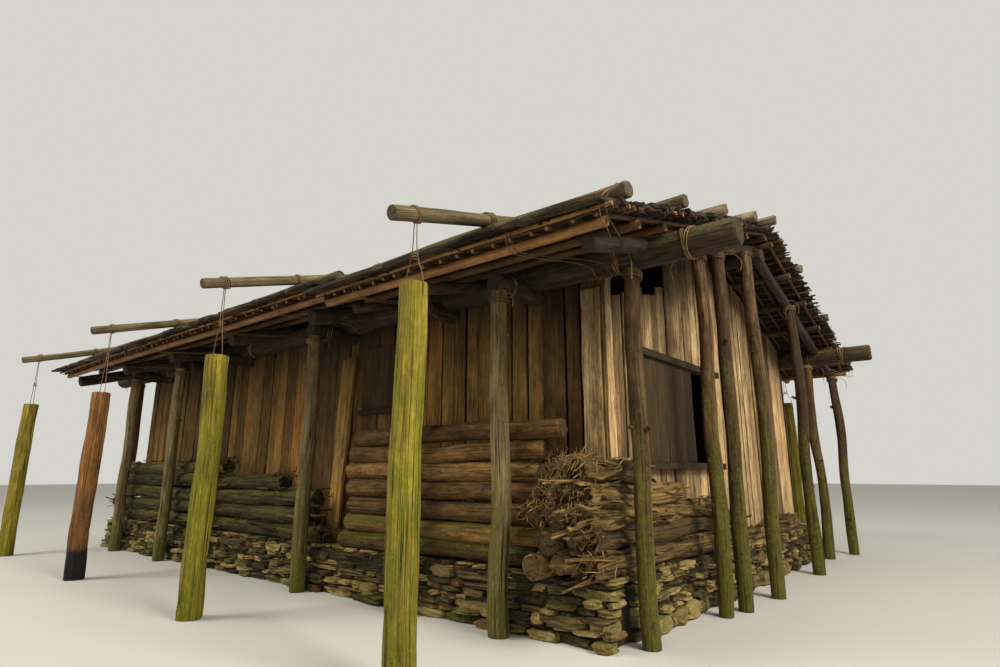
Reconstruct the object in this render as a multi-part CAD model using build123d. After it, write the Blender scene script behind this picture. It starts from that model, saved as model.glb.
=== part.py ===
"""Mountain timber house: board walls on a dry stone plinth, a low log and bark roof, and posts all round.

Millimetres. +X runs right along the front wall, +Y goes into the house, +Z is up.
The origin is the middle of the house on the level ground that its posts stand on.
"""

from build123d import *
import os
from math import cos, radians, sin, tan

# House plan, to the outer faces of the board walls
HOUSE_LENGTH = 8400
HOUSE_DEPTH = 5000
BOARD = 40

# Dry stone plinth
PLINTH_HEIGHT = 420
PLINTH_WIDTH = 530
PLINTH_PROUD = 370
PLINTH_SIDE_PROUD = 200
PLINTH_BATTER = 45

# Roof, measured on the centre lines of its purlins
EAVE_OVERHANG = 1050
VERGE_OVERHANG = 640
EAVE_HEIGHT = 2520
PITCH = 16
PURLIN = 64
EAVE_PURLINS = 3
EAVE_PURLIN_SPACING = 420
UPPER_PURLINS = 4
RIDGE_PURLIN_OUT = 120
COVER = 96
COVER_PROUD = 60

# The front slope's left section rides higher than its right one, on stouter rafters
SECTION_JOINT_IN = 2100
SECTION_STEP = 60
SECTION_GAP = 15
JOINT_RAFTER_OFF = 120

# Frame logs, each hewn to this many faces
LOG_FACES = 16
RAFTER = 90
RAFTER_SPACING = 1550
RAFTERS_A_SIDE = 5
RAFTER_TAIL = 200
RIDGE_PLAY = 2
VERGE_LOG = 110
VERGE_LOG_OUT = 450
PLATE = 210
PLATE_SEAT = 82
PLATE_OFF_WALL = 5
PLATE_REACH = 1100
TIE = 150
TIE_UNDER_PURLIN = 1.5
TIE_REACH = 560
RIDGE_BEAM = 160
RIDGE_SEAT = 25
NOTCH_PLAY = 0.3
WALL_TOP_GAP = 12

# Logs and poles that weigh the cover down
WEIGHT_LOG = 105
WEIGHT_LOG_PROUD = 90
WEIGHT_LOG_IN = 130
FRONT_WEIGHT_LOGS = 4
FRONT_WEIGHT_TOP_OUT = 730
BACK_WEIGHT_LOGS = 3
BACK_WEIGHT_TOP_OUT = 990
HOLD_POLE = 92
HOLD_POLE_PROUD = 770
HOLD_POLE_RUN = 2870
ROPE = 14

# Eave posts, by how far each stands in from the right and left ends of the house
EAVE_POST = 150
EAVE_POST_OFF_WALL = 500
RIGHT_EAVE_POSTS_IN = [625, 1600, 3100]
LEFT_EAVE_POSTS_IN = [3100, 2150, 620]

# Anchor posts, by how far each stands in from its end of the house, and how far its top is below a hold pole
ANCHOR_POST = 175
ANCHOR_POST_OFF_EAVE = 575
RIGHT_ANCHOR_POSTS = [(360, 395), (2790, 535)]
LEFT_ANCHOR_POSTS = [(2910, 625), (60, 555)]

# Gable posts, by how far each stands out from the verge log's line and in from its corner
GABLE_POST = 140
FRONT_GABLE_POSTS = [(-65, 1060), (0, 1360), (50, 2070)]
BACK_GABLE_POSTS = [(50, 1320), (40, -800)]
PLATE_POST_IN = 780
SADDLE = 18

# Window in the right gable wall, its shutter slid half open towards the front
WINDOW_OFF_RIDGE = 250
WINDOW_WIDTH = 1070
WINDOW_SILL = 760
WINDOW_HEIGHT = 870
SHUTTER_WIDTH = 1100
SHUTTER_OPEN = 650
SHUTTER = 30
RAIL_DEPTH = 62
RAIL_HEIGHT = 60
RAIL_SPARE = 40

# Window in the front wall, closed by its shutter
FRONT_WINDOW_IN = 2050
FRONT_WINDOW_WIDTH = 750
FRONT_WINDOW_DROP = 446
FRONT_WINDOW_HEIGHT = 560
FRONT_SHUTTER_LAP = 90

# Log stacks, log by log from the bottom
STACK_GAP = 0.6
STACK_OFF_WALL = 280
RIGHT_STACK_OFF_WALL = 100

# How far in from the right end each log starts, and its length
FRONT_RIGHT_LOG = 152
FRONT_RIGHT_LOGS = [(440, 2280), (220, 2420), (320, 2280), (380, 2250), (400, 2260), (340, 2280), (200, 2360)]

# How far in from the left end each log starts, and how far short of the right stack it stops
FRONT_LEFT_LOG = 164
FRONT_LEFT_LOGS = [(500, 300), (-100, 610), (50, 580), (200, 1150), (300, 2440)]

# How far each log reaches past the front corner, and its length
RIGHT_LOG = 150
RIGHT_LOGS = [(460, 4860), (500, 2800), (560, 2160), (520, 1420), (600, 850)]

# How far each log stops short of the left and right ends
BACK_LOG = 150
BACK_LOGS = [(300, 200), (250, 300), (350, 240), (280, 320), (400, 260), (340, 300)]

# Worked out from the sizes above
HALF_LENGTH = HOUSE_LENGTH / 2
HALF_DEPTH = HOUSE_DEPTH / 2
ROOF_HALF = HALF_LENGTH + VERGE_OVERHANG
EAVE_OUT = HALF_DEPTH + EAVE_OVERHANG
SLOPE = tan(radians(PITCH))
LEAN = cos(radians(PITCH))
RIDGE_HEIGHT = EAVE_HEIGHT + EAVE_OUT * SLOPE
PLATE_OUT = HALF_DEPTH + PLATE / 2 + PLATE_OFF_WALL
VERGE_LOG_X = HALF_LENGTH + VERGE_LOG_OUT
SECTION_JOINT_X = HALF_LENGTH - SECTION_JOINT_IN
ANCHOR_POST_OUT = EAVE_OUT + ANCHOR_POST_OFF_EAVE


def purlin_line(out):
    """Height of the purlins' centre line at a distance from the ridge."""
    return RIDGE_HEIGHT - out * SLOPE


def from_ends(right_in, left_in):
    """Places along the house, from how far they are in from its right and left ends."""
    return [HALF_LENGTH - place for place in right_in] + [place - HALF_LENGTH for place in left_in]


def evenly(first, last, count):
    """Places from the first to the last at even steps."""
    return [first + (last - first) * i / (count - 1) for i in range(count)]


EAVE_POST_X = from_ends(RIGHT_EAVE_POSTS_IN, LEFT_EAVE_POSTS_IN)
ANCHOR_POST_X = from_ends([post[0] for post in RIGHT_ANCHOR_POSTS], [post[0] for post in LEFT_ANCHOR_POSTS])
ANCHOR_DROPS = [post[1] for post in RIGHT_ANCHOR_POSTS + LEFT_ANCHOR_POSTS]
LAST_EAVE_PURLIN = EAVE_OUT - (EAVE_PURLINS - 1) * EAVE_PURLIN_SPACING
EAVE_PURLIN_OUT = evenly(EAVE_OUT, LAST_EAVE_PURLIN, EAVE_PURLINS)
PURLIN_OUT = EAVE_PURLIN_OUT + evenly(LAST_EAVE_PURLIN, RIDGE_PURLIN_OUT, UPPER_PURLINS + 1)[1:]
PLATE_HEIGHT = purlin_line(PLATE_OUT) - (PURLIN / 2 + RAFTER) / LEAN + PLATE_SEAT - PLATE / 2
TIE_HEIGHT = purlin_line(EAVE_PURLIN_OUT[1]) - PURLIN / 2 - TIE_UNDER_PURLIN - TIE / 2


def log(start, end, diameter, facing=(0, 0, 1)):
    """A log hewn to even faces between two points, one face square to the direction that facing gives."""
    run = Vector(*end) - Vector(*start)
    place = Plane(origin=start, x_dir=facing, z_dir=run)
    section = RegularPolygon(diameter / 2, LOG_FACES, major_radius=False, rotation=180 / LOG_FACES)
    return extrude(place * section, run.length)


def square_to_slope(side):
    """The direction that a slope faces."""
    return (0, side * sin(radians(PITCH)), LEAN)


def section_rise(side, x):
    """How much higher the roof rides at a place along one slope than its right front section does."""
    return SECTION_STEP if side < 0 and x < SECTION_JOINT_X else 0


def lengths_of(side, reach):
    """The lengths that a slope's poles and logs come in, each with its section's rise."""
    if side > 0:
        return [(-reach, reach, 0)]
    right = SECTION_JOINT_X + SECTION_GAP
    return [(-reach, SECTION_JOINT_X - SECTION_GAP, SECTION_STEP), (right, reach, 0)]


def post(x, y, top, diameter):
    """An upright log from the ground to its top."""
    return log((x, y, 0), (x, y, top), diameter, (0, 1, 0))


def notched(beam, crossing):
    """A beam or wall with a seat cut for each log that crosses it."""
    for piece in crossing:
        beam = beam - piece
    return beam


def block(x, y, z):
    """A plain block between pairs of coordinates."""
    size = [side[1] - side[0] for side in (x, y, z)]
    return Pos(x[0], y[0], z[0]) * Box(*size, align=Align.MIN)


def wall_section(points, x_from, x_to):
    """An outline of (y, z) points drawn out along X."""
    outline = make_face(Plane.YZ.offset(x_from) * Polyline(*points, close=True))
    return extrude(outline, x_to - x_from, dir=(1, 0, 0))


def plinth_run(length):
    """A battered length of dry walling along X, its outer face towards -Y and its inner face on Y = 0."""
    outer = -PLINTH_WIDTH
    points = [(outer - PLINTH_BATTER, 0), (0, 0), (0, PLINTH_HEIGHT), (outer, PLINTH_HEIGHT)]
    return wall_section(points, -length / 2, length / 2)


def plinths():
    """Four runs of dry walling: the long ones take the corners."""
    outer_y = HALF_DEPTH + PLINTH_PROUD
    outer_x = HALF_LENGTH + PLINTH_SIDE_PROUD
    inner_y = outer_y - PLINTH_WIDTH
    inner_x = outer_x - PLINTH_WIDTH
    long_run = plinth_run(2 * outer_x)
    short_run = plinth_run(2 * inner_y)
    return {
        "plinth_front": Pos(0, -inner_y, 0) * long_run,
        "plinth_back": Pos(0, inner_y, 0) * Rot(0, 0, 180) * long_run,
        "plinth_right": Pos(inner_x, 0, 0) * Rot(0, 0, 90) * short_run,
        "plinth_left": Pos(-inner_x, 0, 0) * Rot(0, 0, -90) * short_run,
    }


def wall_top(out):
    """Height where the boards of a wall stop under the purlins."""
    return purlin_line(out) - PURLIN / 2 / LEAN - WALL_TOP_GAP


def front_window():
    """The front window's sides and its sill and head."""
    right = HALF_LENGTH - FRONT_WINDOW_IN
    head = wall_top(HALF_DEPTH) - FRONT_WINDOW_DROP
    return (right - FRONT_WINDOW_WIDTH, right), (head - FRONT_WINDOW_HEIGHT, head)


def gable_window():
    """The gable window's sides and its sill and head."""
    back = -WINDOW_OFF_RIDGE
    sill = PLINTH_HEIGHT + WINDOW_SILL
    return (back - WINDOW_WIDTH, back), (sill, sill + WINDOW_HEIGHT)


def long_walls(front_crossing, back_crossing):
    """The front wall around its window, and the plain back wall, cut round the beams that cross their tops."""
    front = (-HALF_DEPTH, -HALF_DEPTH + BOARD)
    back = (HALF_DEPTH - BOARD, HALF_DEPTH)
    height = (PLINTH_HEIGHT, wall_top(HALF_DEPTH))
    ends = (-HALF_LENGTH, HALF_LENGTH)
    window, (sill, head) = front_window()
    return {
        "front_wall_left": notched(block((ends[0], window[0]), front, height), front_crossing),
        "front_wall_right": notched(block((window[1], ends[1]), front, height), front_crossing),
        "front_wall_over_window": notched(block(window, front, (head, height[1])), front_crossing),
        "front_wall_under_window": block(window, front, (height[0], sill)),
        "back_wall": notched(block(ends, back, height), back_crossing),
    }


def gable_piece(y_from, y_to, z_from, side):
    """A piece of gable wall under the roof slopes, on the side of the house that side names by its sign."""
    points = [(y_from, z_from), (y_to, z_from), (y_to, wall_top(abs(y_to)))]
    if y_from < 0 < y_to:
        points.append((0, wall_top(0)))
    points.append((y_from, wall_top(abs(y_from))))
    inner = HALF_LENGTH - BOARD
    return wall_section(points, *sorted((side * inner, side * HALF_LENGTH)))


def gable_walls(ridge_beam_hole):
    """The right gable wall around its window, and the plain left one, both let in round the ridge beam."""
    inner = HALF_DEPTH - BOARD
    window, (sill, head) = gable_window()
    return {
        "left_wall": gable_piece(-inner, inner, PLINTH_HEIGHT, -1) - ridge_beam_hole,
        "right_wall_front": gable_piece(-inner, window[0], PLINTH_HEIGHT, 1),
        "right_wall_back": gable_piece(window[1], inner, PLINTH_HEIGHT, 1) - ridge_beam_hole,
        "right_wall_over_window": gable_piece(*window, head, 1),
        "right_wall_under_window": block((HALF_LENGTH - BOARD, HALF_LENGTH), window, (PLINTH_HEIGHT, sill)),
    }


def shutters():
    """Board shutters and the rails that they slide in."""
    wall_x = HALF_LENGTH
    wall_y = -HALF_DEPTH
    window, (sill, head) = gable_window()
    closing_edge = window[1] - SHUTTER_OPEN
    shutter_y = (closing_edge - SHUTTER_WIDTH, closing_edge)
    shutter_x = (wall_x, wall_x + SHUTTER)
    rail_x = (wall_x, wall_x + RAIL_DEPTH)
    rail_y = (shutter_y[0] - RAIL_SPARE, window[1] + RAIL_SPARE)
    front_sides, (sill_of_front, head_of_front) = front_window()
    front_x = (front_sides[0] - FRONT_SHUTTER_LAP, front_sides[1] + FRONT_SHUTTER_LAP)
    front_sill = sill_of_front - RAIL_SPARE
    front_z = (front_sill, head_of_front + RAIL_SPARE)
    rails = [
        block(rail_x, rail_y, (sill - RAIL_HEIGHT, sill)),
        block(rail_x, rail_y, (head, head + RAIL_HEIGHT)),
        block(front_x, (wall_y - RAIL_DEPTH, wall_y), (front_sill - RAIL_HEIGHT, front_sill)),
    ]
    return {
        "right_shutter": block(shutter_x, shutter_y, (sill, head)),
        "front_shutter": block(front_x, (wall_y - SHUTTER, wall_y), front_z),
        "shutter_rails": rails,
    }


def tie_beams():
    """Cross beams that run over the eave posts at the front and back."""
    reach = HALF_DEPTH + TIE_REACH
    return [log((x, -reach, TIE_HEIGHT), (x, reach, TIE_HEIGHT), TIE) for x in EAVE_POST_X]


def sloping_log(x, out_from, out_to, side, drop, diameter):
    """A log up a roof slope, its centre line a drop below the purlins' centres, square to the slope."""
    fall = drop / LEAN
    start = (x, side * out_from, purlin_line(out_from) - fall)
    end = (x, side * out_to, purlin_line(out_to) - fall)
    return log(start, end, diameter, square_to_slope(side))


def rafter(x, out_from, side, diameter):
    """A log from near the eave to the ridge, stouter by its section's rise, so that the undersides line up."""
    rise = section_rise(side, x)
    stout = diameter + rise
    drop = (PURLIN + diameter - rise) / 2
    top = stout / 2 * sin(radians(PITCH)) + RIDGE_PLAY
    return sloping_log(x, out_from, top, side, drop, stout)


def slope_rafters(side):
    """Rafters of one slope, spaced evenly about the middle of the house, and one beside the front's joint."""
    first = -(RAFTERS_A_SIDE - 1) / 2
    places = [(first + i) * RAFTER_SPACING for i in range(RAFTERS_A_SIDE)]
    if side < 0:
        places.append(SECTION_JOINT_X + JOINT_RAFTER_OFF)
    return [rafter(x, EAVE_OUT - RAFTER_TAIL, side, RAFTER) for x in places]


def verge_rafters():
    """The logs on the gable posts that carry the overhanging ends of the purlins."""
    out = EAVE_OUT - RAFTER_TAIL / 2
    return [rafter(x, out, side, VERGE_LOG) for x in (-VERGE_LOG_X, VERGE_LOG_X) for side in (-1, 1)]


def plate(side, crossing):
    """The heavy log along the top of a long wall, notched over the tie beams and under the rafters."""
    reach = HALF_LENGTH + PLATE_REACH
    y = side * PLATE_OUT
    return notched(log((-reach, y, PLATE_HEIGHT), (reach, y, PLATE_HEIGHT), PLATE), crossing)


def ridge_beam_height():
    """Centre of the ridge beam, its top let into the rafters by the seat."""
    rafter_underside = RIDGE_HEIGHT - (PURLIN / 2 + RAFTER) / LEAN
    return rafter_underside + RIDGE_SEAT - RIDGE_BEAM / 2


def ridge_log_between(reach, diameter):
    """A log along the ridge beam's line."""
    z = ridge_beam_height()
    return log((-reach, 0, z), (reach, 0, z), diameter)


def slope_purlins(side):
    """Poles along one slope, from verge to verge."""
    poles = []
    for out in PURLIN_OUT:
        for x_from, x_to, rise in lengths_of(side, ROOF_HALF):
            z = purlin_line(out) + rise / LEAN
            ends = (x_from, side * out, z), (x_to, side * out, z)
            poles.append(log(*ends, PURLIN, square_to_slope(side)))
    return poles


def roof_cover(side, x_from, x_to, rise):
    """The cane and bark cover of a length of one slope, mitred at the ridge."""
    under = PURLIN / 2 + rise
    foot = EAVE_OUT + COVER_PROUD
    points = []
    for out, height in [(0, under), (0, under + COVER), (foot, under + COVER), (foot, under)]:
        points.append((side * out, purlin_line(out) + height / LEAN))
    return wall_section(points, x_from, x_to)


def on_cover(out, rise):
    """Height of something that lies on the cover, its centre a rise above it, square to the slope."""
    return purlin_line(out) + (PURLIN / 2 + COVER + rise) / LEAN


def weight_logs(side, count, top_out):
    """Logs that lie along the slope and hold the bark down."""
    reach = ROOF_HALF + WEIGHT_LOG_PROUD
    logs = []
    for out in evenly(EAVE_OUT - WEIGHT_LOG_IN, top_out, count):
        for x_from, x_to, rise in lengths_of(side, reach):
            z = on_cover(out, rise + WEIGHT_LOG / 2)
            ends = (x_from, side * out, z), (x_to, side * out, z)
            logs.append(log(*ends, WEIGHT_LOG, square_to_slope(side)))
    return logs


def ridge_logs():
    """Logs along the ridge on top of the cover, one on each of the front's sections."""
    logs = []
    for x_from, x_to, rise in lengths_of(-1, ROOF_HALF + WEIGHT_LOG_PROUD):
        z = on_cover(0, rise) + WEIGHT_LOG / 2
        logs.append(log((x_from, 0, z), (x_to, 0, z), WEIGHT_LOG))
    return logs


def hold_poles(side):
    """Poles up the slope on top of the weight logs, one over each anchor post."""
    height = PURLIN / 2 + COVER + WEIGHT_LOG + HOLD_POLE / 2
    foot = EAVE_OUT + HOLD_POLE_PROUD
    head = foot - HOLD_POLE_RUN
    return [
        sloping_log(x, foot, head, side, -height - section_rise(side, x), HOLD_POLE) for x in ANCHOR_POST_X
    ]


def knot_height(rise):
    """Where a rope meets the underside of a hold pole that rides a rise above the right front section's."""
    return on_cover(ANCHOR_POST_OUT, WEIGHT_LOG + rise) - ROPE / 2 * SLOPE


def tie_ropes():
    """Taut ropes from the ends of the hold poles straight down to the anchor posts."""
    ropes = []
    for side in (-1, 1):
        y = side * ANCHOR_POST_OUT
        for x, drop in zip(ANCHOR_POST_X, ANCHOR_DROPS):
            knot = knot_height(section_rise(side, x))
            ropes.append(log((x, y, knot_height(0) - drop), (x, y, knot), ROPE, (0, 1, 0)))
    return ropes


def anchor_posts(side):
    """Stout posts outside the eave that the roof is tied down to."""
    y = side * ANCHOR_POST_OUT
    knot = knot_height(0)
    return [post(x, y, knot - drop, ANCHOR_POST) for x, drop in zip(ANCHOR_POST_X, ANCHOR_DROPS)]


def eave_posts(side, ties):
    """Posts under the ends of the tie beams, their tops hollowed to seat the beams."""
    y = side * (HALF_DEPTH + EAVE_POST_OFF_WALL)
    top = TIE_HEIGHT - TIE / 2 + SADDLE
    return [post(x, y, top, EAVE_POST) - tie for x, tie in zip(EAVE_POST_X, ties)]


def gable_posts(side, verge, plates):
    """Posts under the verge logs, and one under the end of each plate, all hollowed to seat the log above."""
    posts = []
    for slope, places in ((-1, FRONT_GABLE_POSTS), (1, BACK_GABLE_POSTS)):
        for outward, inward in places:
            out = HALF_DEPTH - inward
            top = purlin_line(out) - (PURLIN / 2 + VERGE_LOG) / LEAN + SADDLE
            upright = post(side * (VERGE_LOG_X + outward), slope * out, top, GABLE_POST)
            posts.append(notched(upright, verge))
    for y, plate_log in zip((-PLATE_OUT, PLATE_OUT), plates):
        top = PLATE_HEIGHT - PLATE / 2 + SADDLE
        upright = post(side * (HALF_LENGTH + PLATE_REACH - PLATE_POST_IN), y, top, GABLE_POST)
        posts.append(upright - plate_log)
    return posts


def stack_along_x(y, diameter, logs):
    """Logs laid on each other along X on the plinth."""
    pitch = diameter + STACK_GAP
    stack = []
    for course, (x_from, x_to) in enumerate(logs):
        z = PLINTH_HEIGHT + diameter / 2 + course * pitch
        stack.append(log((x_from, y, z), (x_to, y, z), diameter))
    return stack


def log_stacks():
    """Stacked logs that bank up the foot of the walls."""
    front_y = -HALF_DEPTH - STACK_OFF_WALL
    right = [(HALF_LENGTH - inward - length, HALF_LENGTH - inward) for inward, length in FRONT_RIGHT_LOGS]
    left = [(inward - HALF_LENGTH, stop[0] - short) for (inward, short), stop in zip(FRONT_LEFT_LOGS, right)]
    back = [(inward - HALF_LENGTH, HALF_LENGTH - short) for inward, short in BACK_LOGS]
    side = [(-HALF_DEPTH - past, length - HALF_DEPTH - past) for past, length in RIGHT_LOGS]
    side_place = Pos(HALF_LENGTH + RIGHT_STACK_OFF_WALL, 0, 0) * Rot(0, 0, 90)
    return {
        "front_stack_right": stack_along_x(front_y, FRONT_RIGHT_LOG, right),
        "front_stack_left": stack_along_x(front_y, FRONT_LEFT_LOG, left),
        "back_stack": stack_along_x(-front_y, BACK_LOG, back),
        "right_stack": [side_place * piece for piece in stack_along_x(0, RIGHT_LOG, side)],
    }


def build():
    """Every node of the house by name."""
    ties = tie_beams()
    front_rafters = slope_rafters(-1)
    back_rafters = slope_rafters(1)
    verge = verge_rafters()
    beam_reach = VERGE_LOG_X + VERGE_LOG
    beam = ridge_log_between(beam_reach, RIDGE_BEAM)
    nodes = {}
    nodes.update(plinths())
    nodes.update(long_walls(ties + front_rafters, ties + back_rafters))
    nodes.update(gable_walls(ridge_log_between(beam_reach, RIDGE_BEAM + 2 * NOTCH_PLAY)))
    nodes.update(shutters())
    nodes["tie_beams"] = ties
    nodes["front_plate"] = plate(-1, ties + front_rafters + verge)
    nodes["back_plate"] = plate(1, ties + back_rafters + verge)
    nodes["ridge_beam"] = notched(beam, front_rafters + back_rafters + verge)
    nodes["front_rafters"] = front_rafters
    nodes["back_rafters"] = back_rafters
    nodes["verge_rafters"] = verge
    nodes["front_purlins"] = slope_purlins(-1)
    nodes["back_purlins"] = slope_purlins(1)
    nodes["roof_front_left"] = roof_cover(-1, -ROOF_HALF, SECTION_JOINT_X, SECTION_STEP)
    nodes["roof_front_right"] = roof_cover(-1, SECTION_JOINT_X, ROOF_HALF, 0)
    nodes["roof_back"] = roof_cover(1, -ROOF_HALF, ROOF_HALF, 0)
    nodes["front_weight_logs"] = weight_logs(-1, FRONT_WEIGHT_LOGS, FRONT_WEIGHT_TOP_OUT)
    nodes["back_weight_logs"] = weight_logs(1, BACK_WEIGHT_LOGS, BACK_WEIGHT_TOP_OUT)
    nodes["ridge_log"] = ridge_logs()
    nodes["front_hold_poles"] = hold_poles(-1)
    nodes["back_hold_poles"] = hold_poles(1)
    nodes["tie_ropes"] = tie_ropes()
    nodes["front_anchor_posts"] = anchor_posts(-1)
    nodes["back_anchor_posts"] = anchor_posts(1)
    nodes["front_eave_posts"] = eave_posts(-1, ties)
    nodes["back_eave_posts"] = eave_posts(1, ties)
    plates = [nodes["front_plate"], nodes["back_plate"]]
    nodes["right_gable_posts"] = gable_posts(1, verge, plates)
    nodes["left_gable_posts"] = gable_posts(-1, verge, plates)
    nodes.update(log_stacks())
    return nodes


def write(nodes):
    """One STEP file a node."""
    os.makedirs("parts", exist_ok=True)
    for name, shape in nodes.items():
        solids = shape if isinstance(shape, list) else [shape]
        export_step(Compound(children=solids), f"parts/{name}.step")


write(build())
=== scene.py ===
"""Dresses the frame of a mountain timber house: boards, logs, canes, bark, dry stones and vine lashings."""

import math
import random
from collections import namedtuple

import bmesh
import bpy
import numpy as np
from bpy.props import FloatProperty, FloatVectorProperty, PointerProperty
from mathutils import Matrix, Vector, noise


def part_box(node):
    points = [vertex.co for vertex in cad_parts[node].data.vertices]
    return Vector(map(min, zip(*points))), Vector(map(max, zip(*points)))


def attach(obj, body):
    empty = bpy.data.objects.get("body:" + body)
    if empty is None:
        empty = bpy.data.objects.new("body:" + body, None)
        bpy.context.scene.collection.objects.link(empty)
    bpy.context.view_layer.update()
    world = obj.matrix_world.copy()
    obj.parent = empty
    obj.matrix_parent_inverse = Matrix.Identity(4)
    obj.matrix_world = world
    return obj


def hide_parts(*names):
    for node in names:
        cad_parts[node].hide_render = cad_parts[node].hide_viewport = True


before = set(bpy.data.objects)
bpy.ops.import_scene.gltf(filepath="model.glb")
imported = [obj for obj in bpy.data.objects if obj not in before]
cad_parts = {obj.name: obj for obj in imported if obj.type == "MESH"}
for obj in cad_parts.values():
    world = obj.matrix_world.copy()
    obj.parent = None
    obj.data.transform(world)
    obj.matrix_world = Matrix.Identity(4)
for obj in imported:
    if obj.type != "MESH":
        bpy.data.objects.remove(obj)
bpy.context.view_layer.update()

bl_info = {
    "name": "Mountain Timber House",
    "version": (1, 0, 0),
    "blender": (4, 5, 0),
    "location": "View3D > Sidebar > Timber House",
    "description": "Boards, logs, bark roof, dry stones and lashings on the frame of a timber house",
    "category": "Add Mesh",
}

BODY = "root"

# Places read from the frame, in metres
WALL_LOW, WALL_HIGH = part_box("back_wall")
HALF_LENGTH = WALL_HIGH.x
HALF_DEPTH = WALL_HIGH.y
WALL_FOOT = WALL_LOW.z
BOARD_DEPTH = WALL_HIGH.y - WALL_LOW.y
COVER_LOW, COVER_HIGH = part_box("roof_back")
PURLIN_LOW, PURLIN_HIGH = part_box("back_purlins")
PLINTH_LOW, PLINTH_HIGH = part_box("plinth_front")
PLINTH_TOP = PLINTH_HIGH.z
GABLE_PLINTH_LOW, GABLE_PLINTH_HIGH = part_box("plinth_right")
GABLE_WINDOW_LOW, GABLE_WINDOW_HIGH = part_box("right_wall_under_window")
GABLE_WINDOW_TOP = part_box("right_wall_over_window")[0].z
FRONT_WINDOW_LOW, FRONT_WINDOW_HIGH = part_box("front_wall_under_window")
FRONT_WINDOW_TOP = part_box("front_wall_over_window")[0].z

FRONT_WALL_NODES = ["front_wall_left", "front_wall_right", "front_wall_over_window", "front_wall_under_window"]
RIGHT_WALL_NODES = ["right_wall_front", "right_wall_back", "right_wall_over_window", "right_wall_under_window"]

# The roof's slopes, and the joint of its front one, whose left section rides higher
PURLIN_RADIUS = 0.032
SLOPE = (PURLIN_HIGH.z - PURLIN_LOW.z - 2 * PURLIN_RADIUS) / (PURLIN_HIGH.y - PURLIN_LOW.y - 2 * PURLIN_RADIUS)
PITCH = math.atan(SLOPE)
EAVE_OUT = COVER_HIGH.y
ROOF_HALF = COVER_HIGH.x
SECTION_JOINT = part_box("roof_front_right")[0].x
SECTION_STEP = (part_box("roof_front_left")[1].z - COVER_HIGH.z) * math.cos(PITCH)

APEX = PURLIN_LOW.z + PURLIN_RADIUS + (PURLIN_HIGH.y - PURLIN_RADIUS) * SLOPE

# Where the gable's boards are broken short, by their place across the house
BROKEN_TOP = (-2.3, -1.3)
BROKEN_SHORT = 0.34

# Short logs at the front corner: place along the house, height above the plinth, how far out, and width
HEAP_LOGS = [
    (3.94, 0.0, 0.62, 0.16), (4.12, 0.02, 0.56, 0.14), (4.03, 0.15, 0.58, 0.15), (4.2, 0.17, 0.5, 0.13),
    (3.9, 0.3, 0.5, 0.13), (4.08, 0.31, 0.54, 0.15), (4.19, 0.33, 0.42, 0.12), (3.98, 0.45, 0.42, 0.13),
    (4.14, 0.47, 0.44, 0.14), (4.08, 0.6, 0.36, 0.13),
]

# Along the house, where a vine leaves an eave's weight log and where it goes round the plate
EAVE_TIES = [(4.88, 4.5), (4.2, 4.3), (2.62, 2.5), (1.46, 1.4), (0.3, 0.4), (-1.3, -1.2), (-2.9, -2.8), (-4.3, -4.3)]
PLATE_LASHINGS = [-4.85, -4.05, -3.3, -1.8, -0.8, 0.9, 2.4, 3.35, 4.42, 4.95]

ANCHOR_RADIUS = 0.0875
PLINTH_BATTER = 0.045
PLINTH_TURNS = {"front": 0.0, "right": math.pi / 2, "back": math.pi, "left": -math.pi / 2}
TARRED_FOOT = 0.33

# The photograph's camera, worked out from the house's level and plumb lines
CAMERA_PLACE = (6.391, -6.413, 1.1)
CAMERA_TURN = math.radians(39.42)
CAMERA_RISE = math.radians(13.161)
CAMERA_LENS = 21.32


def paint(red, green, blue):
    """A linear colour from the eight bit values that a picture shows."""
    linear = []
    for value in (red / 255, green / 255, blue / 255):
        linear.append(value / 12.92 if value <= 0.04045 else ((value + 0.055) / 1.055) ** 2.4)
    return (*linear, 1.0)


class HouseSettings(bpy.types.PropertyGroup):
    """Sizes and colours of the house's dressing that a user may change."""

    board_width: FloatProperty(
        name="Board width", description="Mean width of a long wall's board", default=0.19, min=0.1, unit="LENGTH"
    )
    gable_board_width: FloatProperty(
        name="Gable board width", description="Mean width of a gable's board", default=0.15, min=0.1, unit="LENGTH"
    )
    board_gap: FloatProperty(
        name="Board gap", description="Widest gap between two boards", default=0.022, min=0.0, unit="LENGTH"
    )
    course_height: FloatProperty(
        name="Stone course", description="Mean height of a course of flat stones", default=0.046, unit="LENGTH"
    )
    cane_gap: FloatProperty(
        name="Cane spacing", description="Distance between the roof's canes", default=0.15, unit="LENGTH"
    )
    bark_course: FloatProperty(
        name="Bark course", description="How far up the slope one course shows", default=0.26, unit="LENGTH"
    )
    rope_width: FloatProperty(
        name="Vine width", description="Diameter of a lashing vine", default=0.009, unit="LENGTH"
    )
    moss: FloatProperty(
        name="Moss", description="How much moss grows on the timber", default=0.5, min=0.0, max=1.0, subtype="FACTOR"
    )
    moss_shade: FloatVectorProperty(
        name="Moss shade", description="Darker green of the moss", subtype="COLOR", size=4, default=paint(56, 58, 16)
    )
    moss_colour: FloatVectorProperty(
        name="Moss colour", description="Green of the moss", subtype="COLOR", size=4, default=paint(104, 100, 30)
    )
    fresh_moss: FloatVectorProperty(
        name="Fresh moss", description="Bright green on the anchor posts", subtype="COLOR", size=4,
        default=paint(124, 134, 16),
    )
    stone_colour: FloatVectorProperty(
        name="Stone colour", description="Colour of clean stone", subtype="COLOR", size=4, default=paint(150, 130, 76)
    )


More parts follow.
